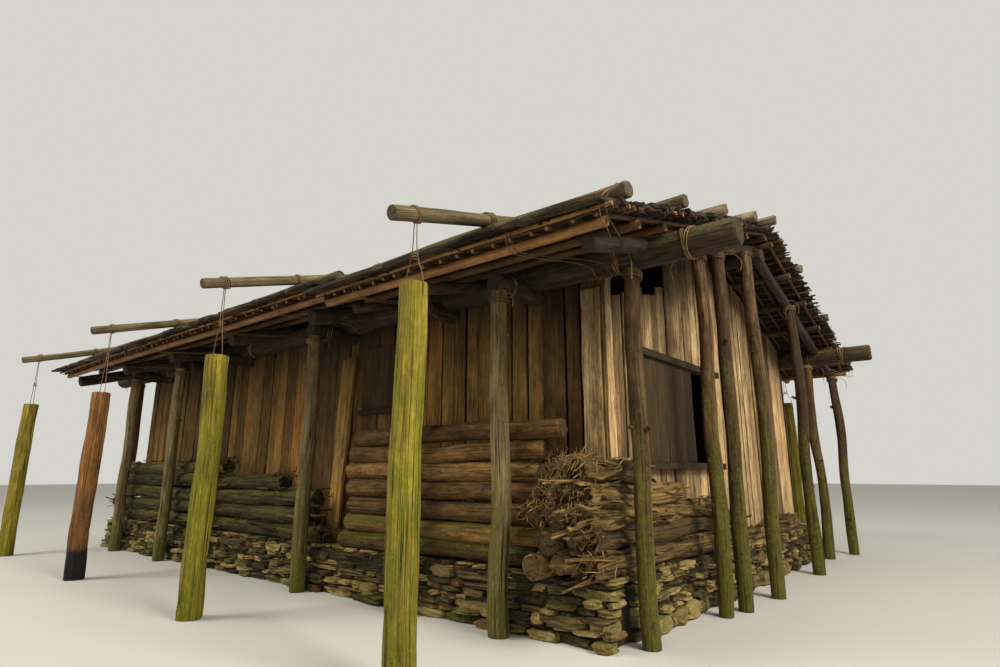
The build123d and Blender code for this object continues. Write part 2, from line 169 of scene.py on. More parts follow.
class Wire:
    """A shader socket that adds Math nodes when it is used in an expression."""

    def __init__(self, finish, socket):
        self.finish = finish
        self.socket = socket

    def math(self, operation, *values, clamp=False):
        settings = {"operation": operation, "use_clamp": clamp}
        return self.finish.node("ShaderNodeMath", settings, dict(enumerate(values)))

    def __add__(self, other):
        return self.math("ADD", self, other)

    def __sub__(self, other):
        return self.math("SUBTRACT", self, other)

    def __rsub__(self, other):
        return self.math("SUBTRACT", other, self)

    def __mul__(self, other):
        return self.math("MULTIPLY", self, other)

    __radd__ = __add__
    __rmul__ = __mul__

    def held(self):
        """The value kept between 0 and 1."""
        return self.math("ADD", self, 0.0, clamp=True)

    def over(self, edge, softness):
        """0 well under an edge and 1 well over it, with a soft step between."""
        return ((self - edge) * (1 / softness)).held()


class Finish:
    """A material whose nodes are added as they are asked for."""

    def __init__(self, name):
        self.material = bpy.data.materials.new(f"{name}_finish")
        self.material.use_nodes = True
        self.tree = self.material.node_tree
        self.tree.nodes.clear()

    def node(self, kind, settings=None, inputs=None, output=0):
        """One node, its settings made first and then its sockets filled or linked."""
        made = self.tree.nodes.new(kind)
        for key, value in (settings or {}).items():
            setattr(made, key, value)
        for key, value in (inputs or {}).items():
            if isinstance(value, Wire):
                self.tree.links.new(value.socket, made.inputs[key])
            else:
                made.inputs[key].default_value = value
        return Wire(self, made.outputs[output])

    def attribute(self, name, output="Fac"):
        return self.node("ShaderNodeAttribute", {"attribute_name": name}, output=output)

    def stretched(self, vector, scale):
        return self.node("ShaderNodeVectorMath", {"operation": "MULTIPLY"}, {0: vector, 1: scale})

    def noise(self, vector, scale=1.0, detail=3.0, roughness=0.55, distortion=0.0):
        inputs = {"Vector": vector, "Scale": scale, "Detail": detail}
        inputs.update({"Roughness": roughness, "Distortion": distortion})
        return self.node("ShaderNodeTexNoise", None, inputs)

    def ramp(self, factor, stops):
        """A colour ramp from (position, colour) stops."""
        wire = self.node("ShaderNodeValToRGB", None, {"Fac": factor})
        elements = wire.socket.node.color_ramp.elements
        while len(elements) < len(stops):
            elements.new(1.0)
        for element, (position, colour) in zip(elements, stops):
            element.position = position
            element.color = colour
        return wire

    def mix(self, factor, first, second, blend="MIX"):
        settings = {"data_type": "RGBA", "blend_type": blend}
        return self.node("ShaderNodeMix", settings, {0: factor, 6: first, 7: second}, output=2)

    def place(self):
        """Object coordinates, which are the house's own."""
        return self.node("ShaderNodeTexCoord", output="Object")

    def facing_up(self):
        """How far the surface faces the sky, from -1 to 1."""
        normal = self.node("ShaderNodeNewGeometry", output="Normal")
        return self.node("ShaderNodeSeparateXYZ", None, {0: normal}, output="Z")

    def surface(self, colour, roughness, height, depth):
        """The closing shader, bumped by a height between 0 and 1 that stands for a depth in metres."""
        bump = self.node("ShaderNodeBump", None, {"Strength": 1.0, "Distance": depth, "Height": height})
        inputs = {"Base Color": colour, "Roughness": roughness, "Normal": bump}
        inputs["Specular IOR Level"] = 0.25
        shader = self.node("ShaderNodeBsdfPrincipled", None, inputs)
        self.node_out = self.node_output(shader)
        return self.material

    def node_output(self, shader):
        made = self.tree.nodes.new("ShaderNodeOutputMaterial")
        self.tree.links.new(shader.socket, made.inputs["Surface"])
        return made


def moss_on(finish, colour, grain, fresh=False):
    """A colour with moss in streaks where it is damp, and the moss mask, from a piece's own growth."""
    settings = bpy.context.scene.timber_house
    growth = finish.attribute("moss")
    streaks = finish.noise(finish.stretched(grain, (12.0, 12.0, 2.4)), detail=7.0, roughness=0.74)
    tufts = finish.noise(finish.place(), scale=30.0, detail=4.0, roughness=0.7)
    up = finish.facing_up()
    wet = (streaks - 0.5) * 3.0 + (tufts - 0.5) * 1.5 + up * 0.5 + growth * 1.6
    mask = wet.over(1.55 - settings.moss, 0.62)
    bright = tuple(settings.fresh_moss if fresh else settings.moss_colour)
    green = finish.mix(tufts.over(0.24, 0.6), tuple(settings.moss_shade), bright)
    return finish.mix(mask * 0.85, colour, green), mask


def under_roof(finish):
    """1 close under the roof and 0 well below it: where shade is painted on the boards under the eaves."""
    place = finish.place()
    across = finish.node("ShaderNodeSeparateXYZ", None, {0: place}, output="Y")
    height = finish.node("ShaderNodeSeparateXYZ", None, {0: place}, output="Z")
    room = APEX - across.math("ABSOLUTE", across) * SLOPE - height
    return 1 - room.over(0.2, 0.9)


def end_grain(finish, grain):
    """Growth rings round the middle of a log's end, between 0 and 1."""
    settings = {"wave_type": "RINGS", "rings_direction": "Z"}
    inputs = {"Vector": grain, "Scale": 34.0, "Distortion": 5.0, "Detail": 3.0, "Detail Scale": 2.0}
    return finish.node("ShaderNodeTexWave", settings, inputs, output=1)


def wood_finish(
    name, palette, checks=0.7, fibres=(70.0, 3.0), relief=0.005, dull=0.72, contrast=1.0, painted_eave_shade=0.0, fresh=False,
    tar=False, pale_ends=0.0,
):
    """Old timber: long fibres and drying checks along the grain, blotches, grime, moss and sawn ends, with painted
    shade under the eaves and dark marks of tar and painted shade where asked.
    """
    finish = Finish(name)
    grain = finish.attribute("grain", "Vector")
    tone = finish.attribute("tone")
    end = finish.attribute("end")
    across, along = fibres
    fibre = finish.noise(finish.stretched(grain, (across, across, along)), detail=6.0, roughness=0.68)
    figure = finish.noise(finish.stretched(grain, (16.0, 16.0, 0.9)), detail=4.0, distortion=0.6)
    blotch = finish.noise(finish.stretched(grain, (6.0, 6.0, 2.6)), detail=7.0, roughness=0.78)
    split = finish.noise(finish.stretched(grain, (26.0, 26.0, 0.35)), detail=2.0, distortion=0.2)
    distance = (split - 0.5).math("ABSOLUTE", split - 0.5)
    crack = (1 - distance.over(0.004, 0.014)) * blotch.over(0.42, 0.14)
    body = finish.ramp((tone * 0.6 + figure * 0.45 + blotch * 0.35 - 0.22).held(), palette)
    shade = (fibre - 0.5) * 2.2 * contrast + (blotch - 0.5) * 2.6 * contrast + 0.96
    # Painted shade: boards close under the roof are darkened as if the eaves' shadow fell on them.
    if painted_eave_shade:
        shade = shade * (1 - under_roof(finish) * painted_eave_shade)
    grey = finish.node("ShaderNodeCombineXYZ", None, {0: shade, 1: shade, 2: shade})
    streaked = finish.mix(1.0, body, grey, "MULTIPLY")
    rings = end_grain(finish, grain)
    sawn = finish.mix(rings, palette[-1][1], palette[0][1])
    sawn = finish.mix((blotch + pale_ends - 0.1).held(), paint(34, 28, 20), sawn)
    ended = finish.mix(end * 0.75, streaked, sawn)
    mossy, mask = moss_on(finish, ended, grain, fresh)
    colour = finish.mix(crack * checks, mossy, paint(20, 15, 10))
    # A dark mark: real tar on a tarred foot, and painted shade on the backs of wall boards and inside hollow ends.
    if tar:
        colour = finish.mix(finish.attribute("tar_and_shade"), colour, paint(24, 22, 20))
    height = fibre * 0.45 + figure * 0.3 + mask * 0.3 + blotch * 0.25 - crack * 0.9 + rings * end * 0.3
    roughness = (fibre * 0.2 + mask * 0.15 + dull).held()
    return finish.surface(colour, roughness, height, relief)


def stone_finish(name):
    """Flat dry laid stone with strata, rust and moss."""
    settings = bpy.context.scene.timber_house
    finish = Finish(name)
    grain = finish.attribute("grain", "Vector")
    tone = finish.attribute("tone")
    strata = finish.noise(finish.stretched(grain, (6.0, 6.0, 70.0)), detail=4.0)
    grit = finish.noise(grain, scale=52.0, detail=6.0, roughness=0.74)
    stain = finish.noise(grain, scale=7.0, detail=4.0)
    base = tuple(settings.stone_colour)
    stops = [(0.0, paint(34, 29, 18)), (0.35, paint(66, 56, 33)), (0.75, base), (1.0, paint(146, 130, 88))]
    body = finish.ramp((tone * 0.75 + strata * 0.6 - 0.2).held(), stops)
    rusty = finish.mix(stain.over(0.56, 0.1) * 0.6, body, paint(112, 74, 30))
    shade = (grit - 0.5) * 2.4 + 0.95
    grey = finish.node("ShaderNodeCombineXYZ", None, {0: shade, 1: shade, 2: shade})
    gritty = finish.mix(1.0, rusty, grey, "MULTIPLY")
    colour, mask = moss_on(finish, gritty, grain)
    height = strata * 0.6 + grit * 0.7 + mask * 0.3
    return finish.surface(colour, (0.94 - strata * 0.14).held(), height, 0.011)


FINISHES = {
    "front_boards": lambda: wood_finish(
        "front_boards",
        [(0.0, paint(56, 38, 18)), (0.35, paint(112, 83, 42)), (0.7, paint(150, 116, 60)), (1.0, paint(172, 98, 38))],
        contrast=1.15,
        painted_eave_shade=0.78,
        tar=True,
    ),
    "gable_boards": lambda: wood_finish(
        "gable_boards",
        [
            (0.0, paint(62, 46, 28)),
            (0.3, paint(122, 96, 62)),
            (0.7, paint(194, 163, 116)),
            (1.0, paint(204, 132, 66)),
        ],
        contrast=1.35,
        painted_eave_shade=0.74,
        tar=True,
    ),
    "shutter_boards": lambda: wood_finish(
        "shutter_boards",
        [(0.0, paint(38, 28, 14)), (0.6, paint(60, 45, 23)), (1.0, paint(80, 62, 34))],
        checks=0.4,
        contrast=0.8,
    ),
    "dark_log": lambda: wood_finish(
        "dark_log",
        [(0.0, paint(36, 27, 18)), (0.5, paint(72, 57, 41)), (1.0, paint(122, 102, 74))],
        fibres=(48.0, 6.0),
        relief=0.012,
        contrast=1.4,
    ),
    "weight_log": lambda: wood_finish(
        "weight_log",
        [(0.0, paint(52, 40, 27)), (0.5, paint(98, 83, 62)), (1.0, paint(148, 132, 104))],
        relief=0.01,
        contrast=1.2,
        pale_ends=0.2,
    ),
    "cane": lambda: wood_finish(
        "cane",
        [(0.0, paint(40, 28, 17)), (0.45, paint(88, 64, 38)), (0.8, paint(142, 102, 58)), (1.0, paint(190, 144, 86))],
        checks=0.3,
        relief=0.002,
        dull=0.5,
        tar=True,
        pale_ends=0.6,
    ),
    "bark_cover": lambda: wood_finish(
        "bark_cover",
        [(0.0, paint(22, 16, 11)), (0.5, paint(50, 38, 26)), (1.0, paint(96, 80, 56))],
        fibres=(46.0, 5.0),
        relief=0.012,
        contrast=1.2,
    ),
    "pole": lambda: wood_finish(
        "pole",
        [(0.0, paint(58, 46, 28)), (0.5, paint(98, 86, 60)), (1.0, paint(140, 126, 94))],
        relief=0.006,
        contrast=1.2,
    ),
    "mossy_post": lambda: wood_finish(
        "mossy_post",
        [(0.0, paint(76, 60, 22)), (0.35, paint(120, 104, 30)), (0.7, paint(136, 122, 38)), (1.0, paint(172, 146, 66))],
        checks=0.9,
        relief=0.012,
        contrast=1.3,
        fresh=True,
        tar=True,
    ),
    "red_post": lambda: wood_finish(
        "red_post",
        [(0.0, paint(66, 40, 19)), (0.5, paint(116, 78, 38)), (1.0, paint(146, 112, 64))],
        relief=0.01,
        contrast=1.2,
        tar=True,
    ),
    "post": lambda: wood_finish(
        "post",
        [(0.0, paint(62, 50, 31)), (0.5, paint(112, 96, 62)), (1.0, paint(156, 138, 100))],
        checks=0.9,
        relief=0.011,
        contrast=1.25,
    ),
    "barked_post": lambda: wood_finish(
        "barked_post",
        [(0.0, paint(32, 22, 12)), (0.5, paint(70, 49, 28)), (1.0, paint(122, 92, 56))],
        fibres=(40.0, 12.0),
        relief=0.014,
        contrast=1.3,
    ),
    "stack_log": lambda: wood_finish(
        "stack_log",
        [(0.0, paint(42, 28, 12)), (0.5, paint(82, 58, 27)), (1.0, paint(138, 104, 56))],
        fibres=(36.0, 10.0),
        relief=0.014,
        contrast=1.4,
        pale_ends=0.15,
    ),
    "rotten_log": lambda: wood_finish(
        "rotten_log",
        [(0.0, paint(30, 22, 10)), (0.4, paint(74, 56, 27)), (0.8, paint(132, 104, 56)), (1.0, paint(188, 154, 96))],
        fibres=(44.0, 3.0),
        relief=0.02,
        contrast=1.5,
    ),
    "mossy_log": lambda: wood_finish(
        "mossy_log",
        [(0.0, paint(26, 20, 8)), (0.5, paint(58, 47, 20)), (1.0, paint(112, 92, 46))],
        fibres=(40.0, 6.0),
        relief=0.02,
        contrast=1.4,
    ),
    "rope": lambda: wood_finish(
        "rope",
        [(0.0, paint(62, 46, 28)), (0.5, paint(112, 88, 58)), (1.0, paint(160, 136, 96))],
        fibres=(160.0, 3.0),
        relief=0.001,
    ),
    "dry_stone": lambda: stone_finish("dry_stone"),
}


def finish_of(name):
    """A finish by its name, made once."""
    return bpy.data.materials.get(f"{name}_finish") or FINISHES[name]()


# Marks on each corner: tone, moss, sawn end, and a dark mark for tar and for painted shade.
LAYERS = ("tone", "moss", "end", "tar_and_shade")


class Maker:
    """Gathers small shapes into one mesh, each with its own grain, tone, moss, ends, and a dark mark for tar and for
    painted shade.
    """

    def __init__(self, name, seed):
        self.name = name
        self.rng = random.Random(seed)
        self.whole = bmesh.new()
        self.passing = bpy.data.meshes.new("passing")

    def begin(self):
        """Starts a shape of its own."""
        self.bm = bmesh.new()
        self.grain = self.bm.verts.layers.float_vector.new("grain")
        self.layers = {name: self.bm.verts.layers.float.new(name) for name in LAYERS}
        return self.bm

    def mark(self, tone=None, moss=0.5):
        """Gives the shape its grain from where its corners are now, and its tone and moss."""
        shift = Vector((0, 0, self.rng.uniform(0, 40)))
        tone = self.rng.random() if tone is None else tone
        for corner in self.bm.verts:
            corner[self.grain] = corner.co + shift
            corner[self.layers["tone"]] = tone
            corner[self.layers["moss"]] = moss

    def turned_mark(self, turn, tone=None, moss=0.5):
        """Marks a shape whose grain runs another way than up."""
        bmesh.ops.transform(self.bm, matrix=turn, verts=self.bm.verts)
        self.mark(tone, moss)
        bmesh.ops.transform(self.bm, matrix=turn.inverted(), verts=self.bm.verts)

    def end(self, place=Matrix.Identity(4)):
        """Moves the shape to its place and adds it to the whole."""
        bmesh.ops.transform(self.bm, matrix=place, verts=self.bm.verts)
        bmesh.ops.recalc_face_normals(self.bm, faces=self.bm.faces)
        self.bm.to_mesh(self.passing)
        self.bm.free()
        self.whole.from_mesh(self.passing)

    def finished(self, finish, replaces=(), smooth=True):
        """The gathered mesh as one piece that rides on the house and stands for its nodes."""
        mesh = bpy.data.meshes.new(self.name)
        self.whole.to_mesh(mesh)
        self.whole.free()
        bpy.data.meshes.remove(self.passing)
        mesh.shade_smooth() if smooth else mesh.shade_flat()
        if smooth:
            mesh.set_sharp_from_angle(angle=math.radians(38))
        mesh.materials.append(finish_of(finish))
        piece = bpy.data.objects.new(self.name, mesh)
        bpy.context.scene.collection.objects.link(piece)
        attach(piece, BODY)
        if replaces:
            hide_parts(*replaces)
        return piece


Run = namedtuple("Run", "start end width")
Look = namedtuple(
    "Look", "sides ring waver knobble chamfer moss taper ragged hollow damp groove barrel",
    defaults=(0.5, 0.06, 0.0, None, 0.0, 0.0, 1.0),
)


def solids(node):
    """The corners of each separate solid of a node of the frame."""
    bm = bmesh.new()
    bm.from_mesh(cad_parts[node].data)
    bmesh.ops.remove_doubles(bm, verts=bm.verts, dist=1e-5)
    left = set(bm.verts)
    groups = []
    while left:
        reached = [left.pop()]
        for corner in reached:
            for edge in corner.link_edges:
                other = edge.other_vert(corner)
                if other in left:
                    left.remove(other)
                    reached.append(other)
        groups.append(np.array([corner.co for corner in reached]))
    bm.free()
    return groups


def run_of(corners):
    """The centre line and width of a straight log, level, plumb or up a slope."""
    low, high = corners.min(0), corners.max(0)
    size = high - low
    longest = int(size.argmax())
    across = [size[i] for i in range(3) if i != longest]
    if abs(across[0] - across[1]) < 0.06 * max(across):
        start = (low + high) / 2
        end = start.copy()
        start[longest], end[longest] = low[longest], high[longest]
        return Run(Vector(start), Vector(end), min(across))
    centre = corners.mean(0)
    axis = np.linalg.svd(corners - centre)[2][0]
    reach = (corners - centre) @ axis
    return Run(Vector(centre + axis * reach.min()), Vector(centre + axis * reach.max()), min(size))


def runs_of(node):
    """The logs of a node, in a settled order."""
    runs = [run_of(corners) for corners in solids(node)]
    return sorted(runs, key=lambda run: (round(run.start.z, 3), round(run.start.x, 3), round(run.start.y, 3)))


def lie_along(start, end):
    """The matrix that lays a shape made along Z, about its middle, between two points."""
    axis = (end - start).normalized()
    turn = axis.to_track_quat("Z", "Y").to_matrix().to_4x4()
    return Matrix.Translation((start + end) / 2) @ turn


def round_log(maker, run, look, tone=None, tarred=0.0):
    """A log with an uneven barrel, a slight bend and soft, ragged or hollow ends."""
    length = (run.end - run.start).length
    half = run.width / 2 * look.barrel
    bm = maker.begin()
    bmesh.ops.create_cone(
        bm, cap_ends=True, cap_tris=False, segments=look.sides,
        radius1=half * (1 + look.taper / 2), radius2=half * (1 - look.taper / 2), depth=length,
    )
    if look.chamfer:
        rims = [edge for edge in bm.edges if abs(edge.verts[0].co.z - edge.verts[1].co.z) < length / 2]
        bmesh.ops.bevel(
            bm, geom=rims, offset=look.chamfer, offset_type="OFFSET", segments=1, profile=0.5,
            affect="EDGES", material=-1,
        )
    caps = [face for face in bm.faces if len(face.verts) == look.sides and look.sides > 4]
    if look.hollow:
        wall, deep = look.hollow
        bmesh.ops.inset_individual(bm, faces=caps, thickness=wall * half, depth=-deep, use_even_offset=True)
    along = [edge for edge in bm.edges if abs(edge.verts[0].co.z - edge.verts[1].co.z) > length / 2]
    cuts = max(1, int(length / look.ring))
    bmesh.ops.subdivide_edges(bm, edges=along, cuts=cuts)
    maker.mark(tone, look.moss)
    # The floor of each hollow end gets the dark mark: painted shade inside the hollow, where the finish shows the mark.
    if look.hollow:
        for face in caps:
            for corner in face.verts:
                corner[maker.layers["tar_and_shade"]] = 1.0
    wear(maker, look, length, tarred)
    maker.end(lie_along(run.start, run.end))


def wear(maker, look, length, tarred):
    """Swells, bends and wears a straight log, and marks its sawn ends and its tarred foot."""
    shift = maker.rng.uniform(0, 60)
    end, tar_and_shade, moss = (maker.layers[name] for name in ("end", "tar_and_shade", "moss"))
    for corner in maker.bm.verts:
        x, y, z = corner.co
        share = min(max(z / length + 0.5, 0.0), 1.0)
        swell = noise.noise(Vector((x * 7, y * 7, z * 1.5 + shift)))
        fine = noise.noise(Vector((x * 26, y * 26, z * 3.4 + shift)))
        channel = abs(noise.noise(Vector((x * 46, y * 46, z * 1.6 + shift))))
        grow = 1 + look.knobble * (swell + 0.5 * fine) + look.groove * (channel - 0.2)
        corner[moss] = look.moss + look.damp * (1 - 2 * share)
        sway = look.waver * math.sin(math.pi * share)
        corner.co.x = x * grow + sway * noise.noise(Vector((share * 2.4, shift, 0.5)))
        corner.co.y = y * grow + sway * noise.noise(Vector((share * 2.4, 0.5, shift)))
        if abs(z) > length / 2 - look.chamfer / 2:
            corner[end] = 1.0
            corner.co.z += look.ragged * noise.noise(Vector((x * 40, y * 40, shift)))
        if z + length / 2 < tarred:
            corner[tar_and_shade] = 1.0


def logs_piece(name, node, look, finish, seed, stubs=0, tones=(None,)):
    """A piece that stands for a node of logs, their tones given from the lowest up, the last one for the rest."""
    maker = Maker(name, seed)
    for place, run in enumerate(runs_of(node)):
        round_log(maker, run, look, tones[min(place, len(tones) - 1)])
        knots(maker, run, stubs)
    return maker.finished(finish, [node])


def knots(maker, run, count):
    """Stubs of side branches that stand a little proud of an upright log."""
    rng = maker.rng
    look = Look(sides=8, ring=0.03, waver=0.0, knobble=0.3, chamfer=0.004, moss=0.6, taper=0.7)
    for _ in range(count):
        root = run.start.lerp(run.end, rng.uniform(0.15, 0.9))
        angle = rng.uniform(0, 2 * math.pi)
        out = Vector((math.cos(angle), math.sin(angle), rng.uniform(0.2, 0.8))).normalized()
        round_log(maker, Run(root, root + out * run.width * rng.uniform(0.5, 0.66), rng.uniform(0.03, 0.05)), look)


def plank(
    maker, low, high, place=Matrix.Identity(4), top_rise=0.0, waver=0.004, cuts=6, tone=None, moss=0.4, painted_back_shade=0.0
):
    """A board between two corners, its outline a little wavy, its top rising along X and its back painted dark as shade
    if asked.
    """
    size = Vector(high) - Vector(low)
    bm = maker.begin()
    bmesh.ops.create_cube(bm, size=1.0)
    bmesh.ops.scale(bm, vec=size, verts=bm.verts)
    bmesh.ops.bevel(
        bm, geom=bm.edges[:], offset=0.003, offset_type="OFFSET", segments=1, profile=0.5,
        affect="EDGES", material=-1,
    )
    longest = max(range(3), key=lambda i: size[i])
    along = [e for e in bm.edges if abs(e.verts[0].co[longest] - e.verts[1].co[longest]) > size[longest] / 2]
    bmesh.ops.subdivide_edges(bm, edges=along, cuts=cuts)
    turns = {0: Matrix.Rotation(math.pi / 2, 4, "Y"), 1: Matrix.Rotation(math.pi / 2, 4, "X")}
    maker.turned_mark(turns.get(longest, Matrix.Identity(4)), tone, moss)
    shift = maker.rng.uniform(0, 60)
    across = 0 if longest == 2 else 2
    for corner in bm.verts:
        lift = corner.co[longest] * 1.9 + shift
        side = 3.0 if corner.co[across] > 0 else -3.0
        corner.co[across] += waver * noise.noise(Vector((side, lift, 0.3)))
        corner.co.y += waver * 0.7 * noise.noise(Vector((0.3, lift * 0.6, side * 0.3)))
        if corner.co.z > 0:
            corner.co.z += top_rise * corner.co.x / size.x
        if abs(corner.co[longest]) > size[longest] * 0.499:
            corner[maker.layers["end"]] = 1.0
        if corner.co.y > 0:
            corner[maker.layers["tar_and_shade"]] = painted_back_shade
    maker.end(place @ Matrix.Translation((Vector(low) + Vector(high)) / 2))


def board_places(length, width, gap, rng):
    """Left and right edges of boards side by side."""
    places = []
    left = 0.0
    while left < length - width * 0.45:
        right = min(length, left + width * rng.uniform(0.72, 1.22))
        if length - right < width * 0.45:
            right = length
        places.append((left, right - gap * rng.uniform(0.1, 1.0)))
        left = right
    return places


def board_wall(maker, length, width, top_at, windows, place, closeness=1.0):
    """Upright boards along a wall from its left end, cut round its windows (left, right, sill, head)."""
    rng = maker.rng
    gap = bpy.context.scene.timber_house.board_gap * closeness
    for left, right in board_places(length, width, gap, rng):
        near = -rng.uniform(-0.01, 0.008)
        far = near + rng.uniform(0.018, 0.024)
        tone = min(1.0, max(0.0, rng.gauss(0.46, 0.33)))
        for piece_left, piece_right, foot, top in board_spans(left, right, windows):
            rise = 0.0
            if top is None:
                ends = [top_at(edge, (left + right) / 2) for edge in (piece_left, piece_right)]
                rise = ends[1] - ends[0]
                top = sum(ends) / 2 - rng.uniform(0.0, 0.02)
            low, high = (piece_left, near, foot), (piece_right, far, top)
            # The boards' backs are painted dark: painted shade that shows in the gaps between the boards.
            plank(maker, low, high, place, rise, tone=tone, moss=rng.uniform(0.1, 0.45), painted_back_shade=0.85)


def board_spans(left, right, windows):
    """The pieces that one board is cut into by the windows that it meets."""
    for window_left, window_right, sill, head in windows:
        if right <= window_left or left >= window_right:
            continue
        spans = []
        if left < window_left - 0.02:
            spans.append((left, window_left, WALL_FOOT, None))
        if right > window_right + 0.02:
            spans.append((window_right, right, WALL_FOOT, None))
        middle = (max(left, window_left), min(right, window_right))
        return spans + [(*middle, WALL_FOOT, sill), (*middle, head, None)]
    return [(left, right, WALL_FOOT, None)]


def eased(points, rounds=2):
    """A route through points with its corners cut, its ends kept."""
    route = [Vector(point) for point in points]
    for _ in range(rounds):
        cut = [route[0]]
        for first, second in zip(route, route[1:]):
            cut += [first.lerp(second, 0.25), first.lerp(second, 0.75)]
        route = cut + [route[-1]]
    return route


def vine(maker, points, width, sides=5, rounds=2):
    """A thin vine along a route."""
    route = eased(points, rounds)
    bm = maker.begin()
    bmesh.ops.create_circle(bm, cap_ends=False, segments=sides, radius=width / 2)
    heading = (route[1] - route[0]).normalized()
    bmesh.ops.transform(bm, matrix=heading.to_track_quat("Z", "Y").to_matrix().to_4x4(), verts=bm.verts)
    bmesh.ops.translate(bm, vec=route[0], verts=bm.verts)
    ring = bm.edges[:]
    for here, there, beyond in zip(route, route[1:], route[2:] + [None]):
        grown = bmesh.ops.extrude_edge_only(bm, edges=ring)["geom"]
        ring = [item for item in grown if isinstance(item, bmesh.types.BMEdge) and item.is_boundary]
        corners = list({corner for edge in ring for corner in edge.verts})
        bmesh.ops.translate(bm, vec=there - here, verts=corners)
        if beyond is not None:
            onward = (beyond - here).normalized()
            turn = heading.rotation_difference(onward).to_matrix()
            bmesh.ops.rotate(bm, cent=there, matrix=turn, verts=corners)
            heading = onward
    bmesh.ops.holes_fill(bm, edges=[edge for edge in bm.edges if edge.is_boundary], sides=0)
    maker.mark(None, 0.0)
    maker.end()


def coil(maker, centre, axis, radius, turns, width):
    """Turns of vine round a log, a little uneven."""
    bm, rng = maker.begin(), maker.rng
    axis = Vector(axis).normalized()
    bmesh.ops.create_circle(bm, cap_ends=False, segments=5, radius=width / 2)
    start = Matrix.Translation((radius + width / 2, 0, 0)) @ Matrix.Rotation(math.pi / 2, 4, "X")
    bmesh.ops.transform(bm, matrix=start, verts=bm.verts)
    steps = 16 * turns
    climb = width * rng.uniform(1.2, 2.6) * turns
    bmesh.ops.spin(
        bm, geom=bm.verts[:] + bm.edges[:], cent=(0, 0, 0), axis=(0, 0, 1), dvec=(0, 0, climb / steps),
        angle=2 * math.pi * turns, steps=steps, use_duplicate=False,
    )
    bmesh.ops.holes_fill(bm, edges=[edge for edge in bm.edges if edge.is_boundary], sides=0)
    shift = rng.uniform(0, 50)
    for corner in bm.verts:
        corner.co.z += -climb / 2 + 0.022 * noise.noise(corner.co * 7 + Vector((0, 0, shift)))
    maker.mark(None, 0.0)
    spin = Matrix.Rotation(rng.uniform(0, 6.28), 4, "Z")
    maker.end(lie_along(centre - axis * 0.01, centre + axis * 0.01) @ spin)


def loose_end(maker, start, width):
    """An end of vine that curls out and down from its lashing."""
    rng = maker.rng
    angle = rng.uniform(0, 2 * math.pi)
    out = Vector((math.cos(angle), math.sin(angle), 0)) * rng.uniform(0.05, 0.14)
    points = [start, start + out * 0.6 + Vector((0, 0, 0.02)), start + out * 1.2 - Vector((0, 0, out.length * 0.5))]
    points.append(start + out - Vector((0, 0, out.length * rng.uniform(1.0, 1.6))))
    vine(maker, points, width * 0.7, sides=4)


def slope_height(out):
    """Height of the purlins' centre line at a distance from the ridge."""
    return PURLIN_LOW.z + PURLIN_RADIUS + (PURLIN_HIGH.y - PURLIN_RADIUS - out) * SLOPE


def on_slope(side, x, out, rise):
    """A point above the purlins' centre line, square to the slope, on one side of the ridge."""
    y = out + rise * math.sin(PITCH)
    z = slope_height(out) + rise * math.cos(PITCH)
    return Vector((x, side * y, z))


def slope_place(side, x, out, rise, tilt=0.0, yaw=0.0):
    """A frame on a slope: X along the house, Y down the slope, Z square to it, tilted and turned a little."""
    face = Matrix.Identity(4) if side > 0 else Matrix.Rotation(math.pi, 4, "Z")
    dip = Matrix.Rotation(-PITCH + tilt, 4, "X")
    return Matrix.Translation(on_slope(side, x, out, rise)) @ face @ dip @ Matrix.Rotation(yaw, 4, "Z")


